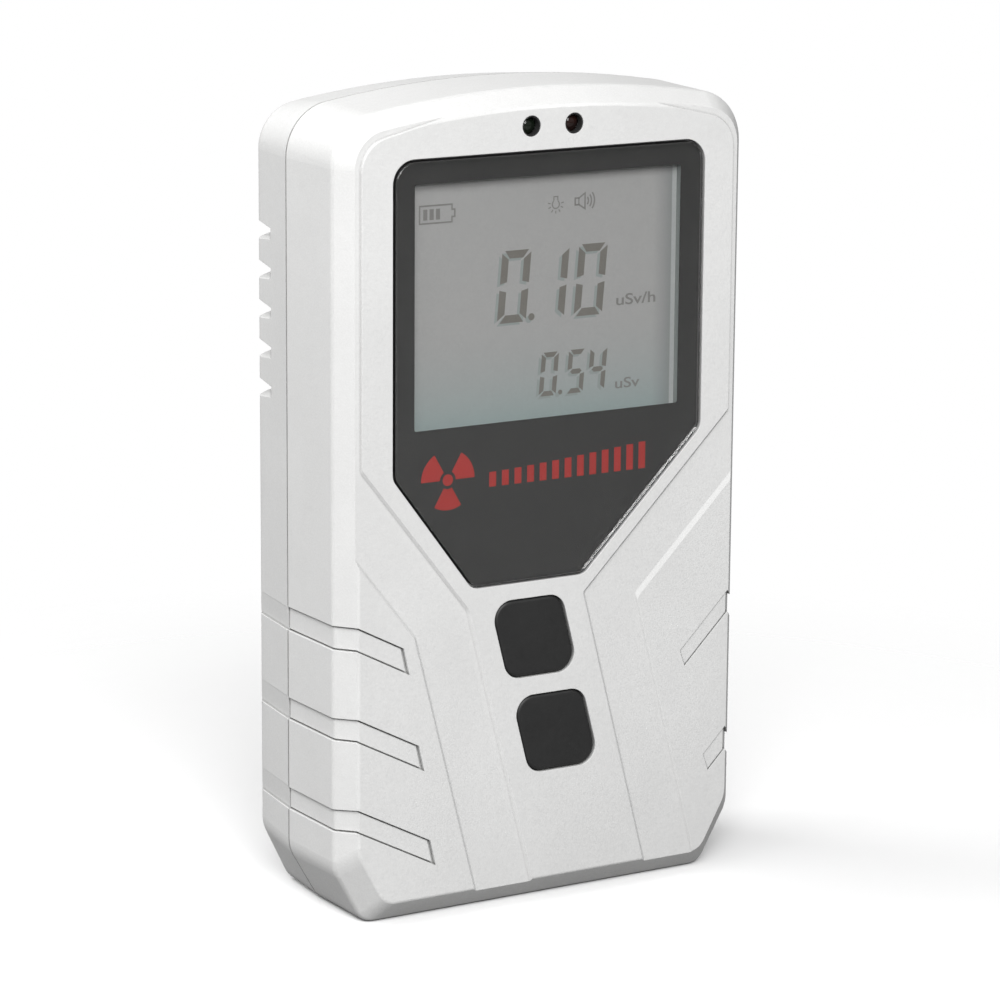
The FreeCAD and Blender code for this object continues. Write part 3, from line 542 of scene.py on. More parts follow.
@dataclass(frozen=True)
class CircuitLaminate:
    """Green solder mask over copper tracks, with bare pads."""

    name: str = "circuit_laminate"
    mask: Colour = (0.02, 0.14, 0.05)
    track: Colour = (0.04, 0.24, 0.09)
    pad: Colour = (0.70, 0.62, 0.40)

    def build(self) -> bpy.types.Material:
        """Makes the material.

        Returns:
            The finished material.
        """
        mix = Recipe(self.name, self.mask, 0.32)
        mix.shader.inputs["Coat Weight"].default_value = 0.4
        bricks = mix.graph.add("TexBrick", {"Scale": 320.0, "Mortar Size": 0.03, "Color1": (0, 0, 0, 1),
                                            "Color2": (0, 0, 0, 1), "Mortar": (1, 1, 1, 1)})
        turn = mix.graph.add("Mapping", {"Vector": mix.place, "Rotation": (math.radians(90), 0, 0)})
        mix.graph.tree.links.new(turn.outputs[0], bricks.inputs["Vector"])
        cells = mix.graph.add("TexVoronoi", {"Vector": mix.place, "Scale": 260.0})
        dots = mix.graph.math("LESS_THAN", cells.outputs["Distance"], 0.16)
        tone = mix.graph.blend(bricks.outputs["Color"], self.mask, self.track)
        mix.feed("Base Color", mix.graph.blend(dots, tone, self.pad))
        mix.feed("Metallic", dots)
        mix.relief(bricks.outputs["Color"], 0.03, 0.6)
        return mix.material


@dataclass(frozen=True)
class WoundWire:
    """Close turns of lacquered wire round an axis along Y, with painted shade between the turns."""

    name: str = "wound_wire"
    crest: Colour = (0.66, 0.30, 0.13)
    gap: Colour = (0.16, 0.06, 0.03)
    turn_mm: float = 0.22

    def build(self) -> bpy.types.Material:
        """Makes the material.

        Returns:
            The finished material.
        """
        mix = Recipe(self.name, self.crest, 0.3, 0.8)
        turns = mix.graph.math("MULTIPLY", mix.axis("Y"), 2 * math.pi / (self.turn_mm * MM))
        wave = mix.graph.math("SINE", turns)
        crest = mix.graph.span(wave, -1.0, 1.0, 0.0, 1.0)
        # Painted shade: the colour is darker between the turns, where shade falls, than on their crests.
        mix.feed("Base Color", mix.graph.blend(crest, self.gap, self.crest))
        mix.feed("Roughness", mix.graph.span(crest, 0.0, 1.0, 0.5, 0.25))
        mix.relief(crest, 0.08, 1.0)
        return mix.material


@dataclass(frozen=True)
class CellWrap:
    """Printed sleeve of a dry cell: a copper-coloured band above a dark body."""

    name: str = "cell_sleeve"
    body: Colour = (0.03, 0.03, 0.035)
    band: Colour = (0.60, 0.30, 0.12)
    split_mm: float = 46.0
    band_side: float = 1.0
    blur_mm: float = 0.05

    def build(self) -> bpy.types.Material:
        """Makes the material.

        Returns:
            The finished material.
        """
        mix = Recipe(self.name, self.body, 0.28, 0.2)
        mix.shader.inputs["Coat Weight"].default_value = 0.5
        height = mix.axis("Z")
        blur = self.blur_mm * self.band_side
        above = mix.graph.span(height, (self.split_mm - blur) * MM, (self.split_mm + blur) * MM, 0.0, 1.0)
        clouds = mix.effect(Effects.clouds(), Scale=400.0, Low=0.0, High=0.25)
        grain = mix.effect(Effects.fine_grain(), Scale=2500.0, Softness=0.5)
        tone = mix.graph.blend(above, self.body, self.band)
        faint = mix.graph.math("MULTIPLY", clouds["Cloud"], 0.08)
        mix.feed("Base Color", mix.graph.blend(faint, tone, self.band))
        mix.feed("Metallic", mix.graph.math("MULTIPLY", above, 0.8))
        mix.feed("Roughness", mix.graph.span(grain["Tone"], 0.0, 1.0, 0.22, 0.34))
        mix.relief(grain["Height"], 0.01, 0.5)
        return mix.material


@dataclass(frozen=True)
class FlatInk:
    """Thin printed or liquid-crystal mark, or a painted shadow of one, slightly uneven in density."""

    name: str
    ink: Colour
    thin: Colour
    roughness: float = 0.5

    def build(self) -> bpy.types.Material:
        """Makes the material.

        Returns:
            The finished material.
        """
        mix = Recipe(self.name, self.ink, self.roughness)
        grain = mix.effect(Effects.fine_grain(), Scale=5200.0, Softness=0.6)
        clouds = mix.effect(Effects.clouds(), Scale=420.0, Low=0.0, High=0.6)
        tone = mix.graph.blend(clouds["Cloud"], self.ink, self.thin)
        specks = mix.graph.math("MULTIPLY", grain["Tone"], 0.3)
        mix.feed("Base Color", mix.graph.blend(specks, tone, self.thin))
        rough = self.roughness
        mix.feed("Roughness", mix.graph.span(grain["Tone"], 0.0, 1.0, rough - 0.05, rough + 0.1))
        mix.relief(grain["Height"], 0.003, 0.5)
        return mix.material


@dataclass(frozen=True)
class PrintedInk:
    """Even, very smooth ink behind the clear window; also the painted shade on the window's edge."""

    name: str
    ink: Colour
    thin: Colour

    def build(self) -> bpy.types.Material:
        """Makes the material.

        Returns:
            The finished material.
        """
        mix = Recipe(self.name, self.ink, 0.6)
        mix.shader.inputs["Specular IOR Level"].default_value = 0.2
        clouds = mix.effect(Effects.clouds(), Scale=260.0, Low=0.0, High=1.0)
        mix.feed("Base Color", mix.graph.blend(clouds["Cloud"], self.ink, self.thin))
        mix.feed("Roughness", mix.graph.span(clouds["Cloud"], 0.0, 1.0, 0.55, 0.7))
        return mix.material


FINISHES: dict[Slot, object] = {
    Slot.SILVER_CASE: SilverPaint(),
    Slot.WINDOW_CLEAR: ClearAcrylic(),
    Slot.WINDOW_PRINT: PrintedInk("window_ink", (0.022, 0.022, 0.0215), (0.026, 0.026, 0.025)),
    Slot.ADHESIVE_TAPE: Moulding("foam_tape", (0.02, 0.02, 0.02), (0.05, 0.05, 0.05), 0.9, 5000.0, 0.05),
    Slot.BLACK_BUTTON: Moulding("satin_black", (0.012, 0.012, 0.012), (0.019, 0.019, 0.019), 0.5,
                                5200.0, 0.012, 0.1),
    Slot.LAMP_SLEEVE: Moulding("matt_black", (0.008, 0.008, 0.008), (0.014, 0.014, 0.014), 0.8, 4000.0, 0.01),
    Slot.DISPLAY_GLASS: DisplayField(),
    Slot.LIGHT_GUIDE: Moulding("milky_acrylic", (0.80, 0.82, 0.78), (0.70, 0.73, 0.69), 0.25, 1500.0, 0.004),
    Slot.CARRIER_PLASTIC: Moulding("off_white_plastic", (0.70, 0.69, 0.64), (0.62, 0.60, 0.55), 0.5),
    Slot.CONNECTOR_RUBBER: Moulding("layered_rubber", (0.10, 0.10, 0.11), (0.20, 0.20, 0.22), 0.75,
                                    2200.0, 0.03),
    Slot.CIRCUIT_BOARD: CircuitLaminate(),
    Slot.GREEN_LAMP: LampEpoxy("green_epoxy", (0.012, 0.018, 0.011), (0.006, 0.010, 0.006)),
    Slot.RED_LAMP: LampEpoxy("red_epoxy", (0.030, 0.012, 0.010), (0.012, 0.006, 0.005)),
    Slot.SWITCH_PLASTIC: Moulding("switch_black", (0.02, 0.02, 0.02), (0.04, 0.04, 0.04), 0.5),
    Slot.SWITCH_KEY: Moulding("switch_tan", (0.35, 0.28, 0.18), (0.28, 0.22, 0.14), 0.5),
    Slot.STEEL: DrawnMetal("plated_steel", (0.60, 0.60, 0.59), (0.50, 0.50, 0.49), 0.28),
    Slot.TUBE_METAL: DrawnMetal("drawn_tube", (0.52, 0.52, 0.53), (0.44, 0.43, 0.42), 0.34),
    Slot.TUBE_CAP: Moulding("sealing_cap", (0.03, 0.03, 0.03), (0.06, 0.06, 0.06), 0.35),
    Slot.CONTACT_SPRING: DrawnMetal("bright_nickel", (0.76, 0.74, 0.70), (0.66, 0.64, 0.60), 0.18, 0.004),
    Slot.SOUNDER_CASE: Moulding("sounder_black", (0.02, 0.02, 0.02), (0.04, 0.04, 0.04), 0.55),
    Slot.FERRITE: Moulding("ferrite_grey", (0.05, 0.05, 0.055), (0.10, 0.10, 0.10), 0.6, 4000.0, 0.04),
    Slot.COPPER_WIRE: WoundWire(),
    Slot.FILM_CAPACITOR: Moulding("dipped_epoxy", (0.42, 0.06, 0.03), (0.30, 0.04, 0.02), 0.22,
                                  900.0, 0.03, 0.0, 0.5),
    Slot.CAN_SLEEVE: Moulding("blue_sleeve", (0.02, 0.03, 0.12), (0.03, 0.05, 0.18), 0.3, 1200.0, 0.01),
    Slot.CHIP_EPOXY: Moulding("chip_black", (0.02, 0.02, 0.022), (0.045, 0.045, 0.045), 0.55, 6000.0, 0.02),
    Slot.CELL_WRAP: CellWrap(),
}


# ---------------------------------------------------------------- meshes
class Outline:
    """Flat figure in the display's plane, in millimetres, made of separate faces."""

    def __init__(self) -> None:
        """Starts empty."""
        self.points: list[Point] = []
        self.faces: list[tuple[int, ...]] = []

    def polygon(self, corners: Sequence[Point]) -> None:
        """Adds one filled face.

        Args:
            corners: Its corners as (x, z), in order.
        """
        start = len(self.points)
        self.points.extend(corners)
        self.faces.append(tuple(range(start, start + len(corners))))

    def ribbon(self, line: Sequence[Point], width: float, closed: bool = False) -> None:
        """Adds a line of even width with mitred corners.

        Args:
            line: Points of the middle of the line.
            width: Width of the line.
            closed: True where the last point joins the first.
        """
        count = len(line)
        left: list[Point] = []
        right: list[Point] = []
        for i, (x, z) in enumerate(line):
            before = Vector(line[i - 1]) if i or closed else None
            after = Vector(line[(i + 1) % count]) if i < count - 1 or closed else None
            here = Vector((x, z))
            ahead = (after - here).normalized() if after is not None else (here - before).normalized()
            behind = (here - before).normalized() if before is not None else ahead
            middle = (ahead + behind).normalized()
            reach = width / 2 / max(0.35, middle.dot(ahead))
            left.append((x - middle.y * reach, z + middle.x * reach))
            right.append((x + middle.y * reach, z - middle.x * reach))
        for i in range(count if closed else count - 1):
            j = (i + 1) % count
            self.polygon([left[i], right[i], right[j], left[j]])

    def disc(self, centre: Point, radius: float, sides: int = 24) -> None:
        """Adds a filled disc.

        Args:
            centre: Its middle.
            radius: Its radius.
            sides: How many corners stand for the circle.
        """
        self.polygon(arc(centre, radius, 0.0, 360.0 - 360.0 / sides, sides))

    def piece(self, name: str, y_mm: float, thick_mm: float) -> bpy.types.Object:
        """Makes the figure a thin plate.

        Args:
            name: Name of the piece.
            y_mm: Depth of its front.
            thick_mm: Its thickness, behind the front.

        Returns:
            The new object.
        """
        mesh = bpy.data.meshes.new(name)
        mesh.from_pydata([(x * MM, y_mm * MM, z * MM) for x, z in self.points], [], self.faces)
        built = bmesh.new()
        built.from_mesh(mesh)
        bmesh.ops.remove_doubles(built, verts=built.verts, dist=1e-7)
        for face in built.faces:
            if face.normal.y > 0:
                face.normal_flip()
        built.to_mesh(mesh)
        built.free()
        thing = link(name, mesh)
        stack(thing, "SOLIDIFY", thickness=thick_mm * MM, offset=-1.0)
        return thing


def arc(centre: Point, radius: float, start: float, end: float, steps: int) -> list[Point]:
    """Points along an arc.

    Args:
        centre: Its centre.
        radius: Its radius.
        start: First angle in degrees, from +X towards +Z.
        end: Last angle.
        steps: How many points.

    Returns:
        The points, both ends included.
    """
    angles = [math.radians(start + (end - start) * i / (steps - 1)) for i in range(steps)]
    return [(centre[0] + radius * math.cos(a), centre[1] + radius * math.sin(a)) for a in angles]


def link(name: str, data: bpy.types.ID) -> bpy.types.Object:
    """Makes an object and puts it in the scene.

    Args:
        name: Name of the object.
        data: Its mesh, curve, light or camera.

    Returns:
        The new object.
    """
    thing = bpy.data.objects.new(name, data)
    bpy.context.scene.collection.objects.link(thing)
    return thing


def stack(thing: bpy.types.Object, kind: str, **settings: object) -> bpy.types.Modifier:
    """Adds a modifier.

    Args:
        thing: Object to add it to.
        kind: Its type.
        settings: Its attributes.

    Returns:
        The modifier.
    """
    modifier = thing.modifiers.new(kind.lower(), kind)
    for key, value in settings.items():
        setattr(modifier, key, value)
    return modifier


def settle(thing: bpy.types.Object, place: Matrix) -> None:
    """Applies an object's modifiers at its own origin and then moves its mesh.

    Args:
        thing: The object.
        place: Where the mesh goes.
    """
    mesh = bpy.data.meshes.new_from_object(thing.evaluated_get(bpy.context.evaluated_depsgraph_get()))
    mesh.name = thing.name
    mesh.transform(place)
    thing.modifiers.clear()
    thing.data = mesh


def turned(name: str, profile: Sequence[Point], steps: int = 48) -> bpy.types.Object:
    """Makes a body of revolution about Z.

    Args:
        name: Name of the object.
        profile: Its (radius, height) points in millimetres, from top to bottom.
        steps: How many steps make the turn.

    Returns:
        The new object, with its turning modifier still on.
    """
    mesh = bpy.data.meshes.new(name)
    runs = [(i, i + 1) for i in range(len(profile) - 1)]
    mesh.from_pydata([(r * MM, 0.0, z * MM) for r, z in profile], runs, [])
    thing = link(name, mesh)
    stack(thing, "SCREW", angle=math.tau, steps=steps, render_steps=steps, axis="Z", use_merge_vertices=True,
          merge_threshold=1e-6, use_smooth_shade=True, use_normal_calculate=True)
    return thing


def finish_piece(thing: bpy.types.Object, finish: object, body: str) -> None:
    """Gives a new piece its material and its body.

    Args:
        thing: The piece.
        finish: Finish whose build method makes the material.
        body: Body that it rides on.
    """
    thing.data.materials.clear()
    thing.data.materials.append(finish.build())
    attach(thing, body)
    LOG.info("%s rides on %s", thing.name, body)


# ---------------------------------------------------------------- sub-assemblies
@dataclass
class CarriedNodes:
    """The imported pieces, each with the finish of its record slot."""

    made: dict[Slot, bpy.types.Material] = field(default_factory=dict)

    def dress(self) -> None:
        """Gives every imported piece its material."""
        for entry in frame["record"]["subparts"]:
            slot = Slot(entry["material_slot"])
            if slot not in self.made:
                self.made[slot] = FINISHES[slot].build()
            node = frame["nodes"][entry["node"]]
            node.data.materials.clear()
            node.data.materials.append(self.made[slot])
            LOG.info("%s has %s", entry["node"], self.made[slot].name)


class Segment(Enum):
    """Bars of a seven-bar digit."""

    TOP = "a"
    TOP_RIGHT = "b"
    LOW_RIGHT = "c"
    FOOT = "d"
    LOW_LEFT = "e"
    TOP_LEFT = "f"
    MIDDLE = "g"


DIGITS: dict[str, str] = {"0": "abcdef", "1": "bc", "4": "bcfg", "5": "acdfg"}


@dataclass
class Digits:
    """A row of leaning seven-bar digits."""

    text: str
    lefts: tuple[float, ...]
    foot: float
    width: float
    height: float
    bar: float
    gap: float
    dot: Point
    dot_radius: float
    lean: float = 0.085
    shift: Point = (0.0, 0.0)

    def bar_corners(self, segment: Segment) -> list[Point]:
        """Outline of one bar with mitred ends, before leaning.

        Args:
            segment: Which bar.

        Returns:
            Its corners from the digit's lower left corner.
        """
        w, h, t, g = self.width, self.height, self.bar, self.gap / 2
        half = h / 2
        flat = {Segment.TOP: h, Segment.FOOT: 0.0, Segment.MIDDLE: half}
        if segment is Segment.MIDDLE:
            return [(g + t / 2, half), (g + t, half + t / 2),
                    (w - g - t, half + t / 2), (w - g - t / 2, half),
                    (w - g - t, half - t / 2), (g + t, half - t / 2)]
        if segment in flat:
            z = flat[segment]
            inner = z - t if z else z + t
            return [(g + t * 0.25, z), (w - g - t * 0.25, z), (w - g - t, inner), (g + t, inner)]
        upper = segment in (Segment.TOP_LEFT, Segment.TOP_RIGHT)
        low, high = (half + g, h - g) if upper else (g, half - g)
        outer, inner = ((0.0, t) if segment in (Segment.TOP_LEFT, Segment.LOW_LEFT) else (w, w - t))
        if upper:
            return [(outer, low + t * 0.25), (inner, low + t * 0.5),
                    (inner, high - t), (outer, high - t * 0.2)]
        return [(outer, low + t * 0.2), (inner, low + t), (inner, high - t * 0.5), (outer, high - t * 0.25)]

    def draw(self, figure: Outline) -> None:
        """Adds the digits and their point to a figure.

        Args:
            figure: The figure to add to.
        """
        for character, left in zip(self.text, self.lefts):
            for letter in DIGITS[character]:
                corners = self.bar_corners(Segment(letter))
                figure.polygon([(left + x + z * self.lean + self.shift[0], self.foot + z + self.shift[1])
                                for x, z in corners])
        figure.disc((self.dot[0] + self.shift[0], self.dot[1] + self.shift[1]), self.dot_radius, 20)


@dataclass
class Readout:
    """What the display shows: two readings with painted shadows, their units and three signs."""

    plane_mm: float
    thick_mm: float = 0.012
    large: Digits = field(default_factory=lambda: Digits(
        "010", (-6.98, -1.38, 4.27), 75.8, 4.22, 9.15, 1.0, 0.26, (-1.93, 76.32), 0.46))
    small: Digits = field(default_factory=lambda: Digits(
        "054", (-0.78, 3.22, 6.42), 65.96, 2.52, 5.6, 0.64, 0.17, (2.42, 66.28), 0.31))
    units: tuple[tuple[str, float, float, float], ...] = (
        ("uSv/h", 10.5, 76.73, 2.0), ("uSv", 10.5, 65.97, 1.9))
    letter_stretch: float = 1.42
    line: float = 0.2
    shadow: Point = (-0.42, -0.3)

    def battery(self, figure: Outline) -> None:
        """Adds the battery sign.

        Args:
            figure: The figure to add to.
        """
        left, right, low, high, nub = -18.09, -13.5, 89.22, 91.41, 0.4
        middle = (low + high) / 2
        figure.ribbon([(left, low), (right, low), (right, middle - 0.45), (right + nub, middle - 0.45),
                       (right + nub, middle + 0.45), (right, middle + 0.45), (right, high), (left, high)],
                      self.line, True)
        for x in (-17.58, -16.68, -15.78):
            figure.polygon([(x, 89.63), (x + 0.58, 89.63), (x + 0.58, 90.98), (x, 90.98)])

    def lamp(self, figure: Outline) -> None:
        """Adds the lamp sign: a globe under its cap, with rays.

        Args:
            figure: The figure to add to.
        """
        x, z = 1.5, 90.3
        figure.ribbon(arc((x, z), 0.52, -235.0, 55.0, 20), self.line * 0.75)
        figure.ribbon([(x - 0.29, z + 0.47), (x - 0.29, z + 0.98),
                       (x + 0.29, z + 0.98), (x + 0.29, z + 0.47)],
                      self.line * 0.75)
        for degrees in (-190, -157, -123, -90, -57, -23, 10):
            a = math.radians(degrees)
            figure.ribbon([(x + 0.8 * math.cos(a), z + 0.8 * math.sin(a)),
                           (x + 1.17 * math.cos(a), z + 1.17 * math.sin(a))], self.line * 0.75)

    def speaker(self, figure: Outline) -> None:
        """Adds the speaker sign with three sound arcs.

        Args:
            figure: The figure to add to.
        """
        x, z = 4.35, 90.45
        figure.ribbon([(x, z - 0.42), (x + 0.55, z - 0.42), (x + 1.45, z - 1.0), (x + 1.45, z + 1.0),
                       (x + 0.55, z + 0.42), (x, z + 0.42)], self.line, True)
        figure.ribbon([(x + 0.55, z - 0.42), (x + 0.55, z + 0.42)], self.line * 0.7)
        for radius in (0.75, 1.2, 1.65):
            figure.ribbon(arc((x + 1.2, z), radius, -38.0, 38.0, 9), self.line)

    def lettering(self, text: str, left: float, foot: float, size: float) -> bpy.types.Object:
        """Makes a unit of measurement as a thin plate.

        Args:
            text: The unit.
            left: Its left end.
            foot: Its base line.
            size: Letter size.

        Returns:
            The new object.
        """
        name = "readout_unit_%s" % text.replace("/", "_per_")
        curve = bpy.data.curves.new(name + "_curve", "FONT")
        curve.body = text
        curve.size = size * MM
        curve.extrude = self.thick_mm / 2 * MM
        curve.offset = 0.022 * MM
        helper = link(name + "_helper", curve)
        mesh = bpy.data.meshes.new_from_object(helper.evaluated_get(bpy.context.evaluated_depsgraph_get()))
        mesh.name = name
        bpy.data.objects.remove(helper)
        bpy.data.curves.remove(curve)
        mesh.transform(Matrix.Translation((left * MM, (self.plane_mm + self.thick_mm / 2) * MM, foot * MM))
                       @ Matrix.Rotation(math.radians(90), 4, "X")
                       @ Matrix.Scale(self.letter_stretch, 4, (1, 0, 0)))
        return link(name, mesh)

    def build(self) -> None:
        """Builds and dresses every mark of the display and the painted shadows of the readings."""
        ink = FlatInk("display_mark", (0.118, 0.111, 0.098), (0.152, 0.146, 0.132), 0.45)
        faint = FlatInk("display_mark_faint", (0.150, 0.148, 0.142), (0.185, 0.184, 0.178), 0.45)
        shade = FlatInk("display_shadow", (0.215, 0.245, 0.238), (0.235, 0.262, 0.255), 0.6)
        for name, row in (("readout_large", self.large), ("readout_small", self.small)):
            figure = Outline()
            row.draw(figure)
            finish_piece(figure.piece(name, self.plane_mm, self.thick_mm), ink, "case")
            # Painted shadow: a teal copy of the reading, offset down and to the left, lies just behind its
            # bars.
            cast = Outline()
            replace(row, shift=self.shadow).draw(cast)
            under = cast.piece(name + "_shadow", self.plane_mm + self.thick_mm + 0.002, 0.004)
            finish_piece(under, shade, "case")
        for name, draw in (("readout_battery", self.battery), ("readout_lamp", self.lamp),
                           ("readout_speaker", self.speaker)):
            figure = Outline()
            draw(figure)
            finish_piece(figure.piece(name, self.plane_mm, self.thick_mm), faint, "case")
        for text, left, foot, size in self.units:
            finish_piece(self.lettering(text, left, foot, size), faint, "case")


@dataclass
class WindowMark:
    """Plain red sign printed behind the window: the public radiation trefoil and a rising scale of bars."""

    front_mm: float
    thick_mm: float = 0.016
    centre: Point = (-14.6, 56.9)
    hub: float = 0.74
    blade: tuple[float, float] = (1.15, 3.85)
    first_bar: float = -8.6
    bar_step: float = 1.85
    bar_width: float = 1.0
    bars: int = 13
    foot: float = 55.4

    def build(self) -> None:
        """Builds and dresses the sign."""
        figure = Outline()
        figure.disc(self.centre, self.hub)
        for middle in (30.0, 150.0, 270.0):
            outer = arc(self.centre, self.blade[1], middle - 30.0, middle + 30.0, 13)
            inner = arc(self.centre, self.blade[0], middle + 30.0, middle - 30.0, 9)
            figure.polygon(outer + inner)
        for i in range(self.bars):
            x = self.first_bar + i * self.bar_step
            high = self.foot + 1.9 + 1.6 * (i / (self.bars - 1)) ** 1.3
            side = x + self.bar_width
            figure.polygon([(x, self.foot), (side, self.foot), (side, high), (x, high)])
        ink = PrintedInk("red_ink", (0.33, 0.028, 0.024), (0.29, 0.024, 0.020))
        sign = figure.piece("window_sign", self.front_mm, self.thick_mm)
        finish_piece(sign, ink, "case")


@dataclass
class DisplayWallShade:
    """Grey lining over the walls of the case's opening between the window and the display: painted shade for
    walls that lie in shadow behind the window.
    """

    half_mm: float = 19.49
    low_mm: float = 63.26
    high_mm: float = 94.39
    wall_mm: float = 0.07
    back_gap_mm: float = 0.04

    def build(self) -> None:
        """Builds and dresses the lining."""
        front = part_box("window_adhesive")[1].y / MM
        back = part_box("lcd_cell")[0].y / MM - self.back_gap_mm
        corners = [(-self.half_mm, self.low_mm), (self.half_mm, self.low_mm), (self.half_mm, self.high_mm),
                   (-self.half_mm, self.high_mm)]
        points = [(x * MM, y * MM, z * MM) for y in (front, back) for x, z in corners]
        mesh = bpy.data.meshes.new("display_gasket")
        mesh.from_pydata(points, [], [(i, (i + 1) % 4, (i + 1) % 4 + 4, i + 4) for i in range(4)])
        thing = link("display_gasket", mesh)
        stack(thing, "SOLIDIFY", thickness=self.wall_mm * MM, offset=-1.0, use_even_offset=True)
        # Painted shade: grey in place of the silver paint, which lies in shadow there.
        finish_piece(thing, Moulding("gasket_grey", (0.20, 0.22, 0.215), (0.17, 0.19, 0.185), 0.6), "case")


@dataclass
class WindowEdge:
    """Black skin on the side of the clear window: painted shade standing in for the shadowed gap round the
    window's edge.
    """

    thick_mm: float = 0.05
    front_gap_mm: float = 0.32
    stand_off: float = 1.8
    side_lean: float = 0.02

    def build(self) -> None:
        """Builds the skin from a copy of the window and dresses it."""
        window = frame["nodes"]["window_panel"]
        mesh = window.data.copy()
        mesh.name = "window_edge_ink"
        mesh.transform(window.matrix_world)
        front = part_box("window_panel")[0].y + self.front_gap_mm * MM
        built = bmesh.new()
        built.from_mesh(mesh)
        rim = [face for face in built.faces
               if abs(face.normal.y) > self.side_lean or face.calc_center_median().y < front]
        bmesh.ops.delete(built, geom=rim, context="FACES")
        bmesh.ops.remove_doubles(built, verts=built.verts, dist=1e-6)
        bmesh.ops.dissolve_limit(built, angle_limit=math.radians(0.5), verts=built.verts,
                                 edges=built.edges)
        bmesh.ops.recalc_face_normals(built, faces=built.faces)
        built.to_mesh(mesh)
        built.free()
        thing = link("window_edge_ink", mesh)
        stack(thing, "SOLIDIFY", thickness=self.thick_mm * MM, offset=self.stand_off)
        # Painted shade: near-black skin where the gap round the window lies in shadow.
        finish_piece(thing, PrintedInk("edge_ink", (0.006, 0.006, 0.006), (0.01, 0.01, 0.01)), "case")


@dataclass
class DryCell:
    """One AAA cell: a drawn can with its raised contact, in a printed sleeve that wraps over both rims."""

    node: str
    upright: bool
    length: float = 44.5
    radius: float = 5.25
    sleeve: float = 0.12
    contact_radius: float = 1.9
    contact_height: float = 0.9
    band_from_middle: float = 12.0

    def can(self) -> bpy.types.Object:
        """Makes the can with a stepped top, a raised contact and a dished base.

        Returns:
            The new object.
        """
        top = self.length - self.contact_height
        wall = self.radius - self.sleeve - 0.01
        nub = self.contact_radius
        profile = [(0.0, self.length), (nub - 0.35, self.length), (nub - 0.1, self.length - 0.08),
                   (nub, self.length - 0.3), (nub, top + 0.1), (nub + 0.1, top), (wall - 1.0, top - 0.02),
                   (wall - 0.9, top - 0.25), (wall - 0.45, top - 0.28), (wall - 0.3, top - 0.1),
                   (wall - 0.1, top - 0.18), (wall, top - 0.4), (wall, 0.4), (wall - 0.12, 0.14),
                   (wall - 0.45, 0.0), (wall - 0.9, 0.02), (wall - 1.1, 0.16), (0.0, 0.16)]
        return turned(self.node + "_can", profile)

    def wrap(self) -> bpy.types.Object:
        """Makes the sleeve, with a shallow crimp groove below the contact end.

        Returns:
            The new object.
        """
        top = self.length - self.contact_height
        wall = self.radius
        profile = [(wall - 0.55, top - 0.02), (wall - 0.2, top - 0.08), (wall, top - 0.35),
                   (wall, top - 1.3), (wall - 0.1, top - 1.5), (wall - 0.1, top - 1.7),
                   (wall, top - 1.9), (wall, 0.45), (wall - 0.12, 0.12), (wall - 0.5, 0.01)]
        thing = turned(self.node + "_sleeve", profile)
        stack(thing, "SOLIDIFY", thickness=self.sleeve * MM, offset=-1.0)
        return thing

    def build(self) -> None:
        """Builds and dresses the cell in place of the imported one."""
        low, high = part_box(self.node)
        middle = (low + high) / 2
        turn = Matrix.Identity(4) if self.upright else Matrix.Rotation(math.pi, 4, "X")
        place = Matrix.Translation(middle) @ turn @ Matrix.Translation((0, 0, -self.length / 2 * MM))
        side = 1.0 if self.upright else -1.0
        split = middle.z / MM + side * self.band_from_middle
        printed = CellWrap(self.node + "_print", split_mm=split, band_side=side)
        steel = DrawnMetal(self.node + "_steel", (0.62, 0.61, 0.58), (0.52, 0.51, 0.48), 0.24)
        for thing, finish in ((self.can(), steel), (self.wrap(), printed)):
            settle(thing, place)
            finish_piece(thing, finish, "case")
            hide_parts(self.node)


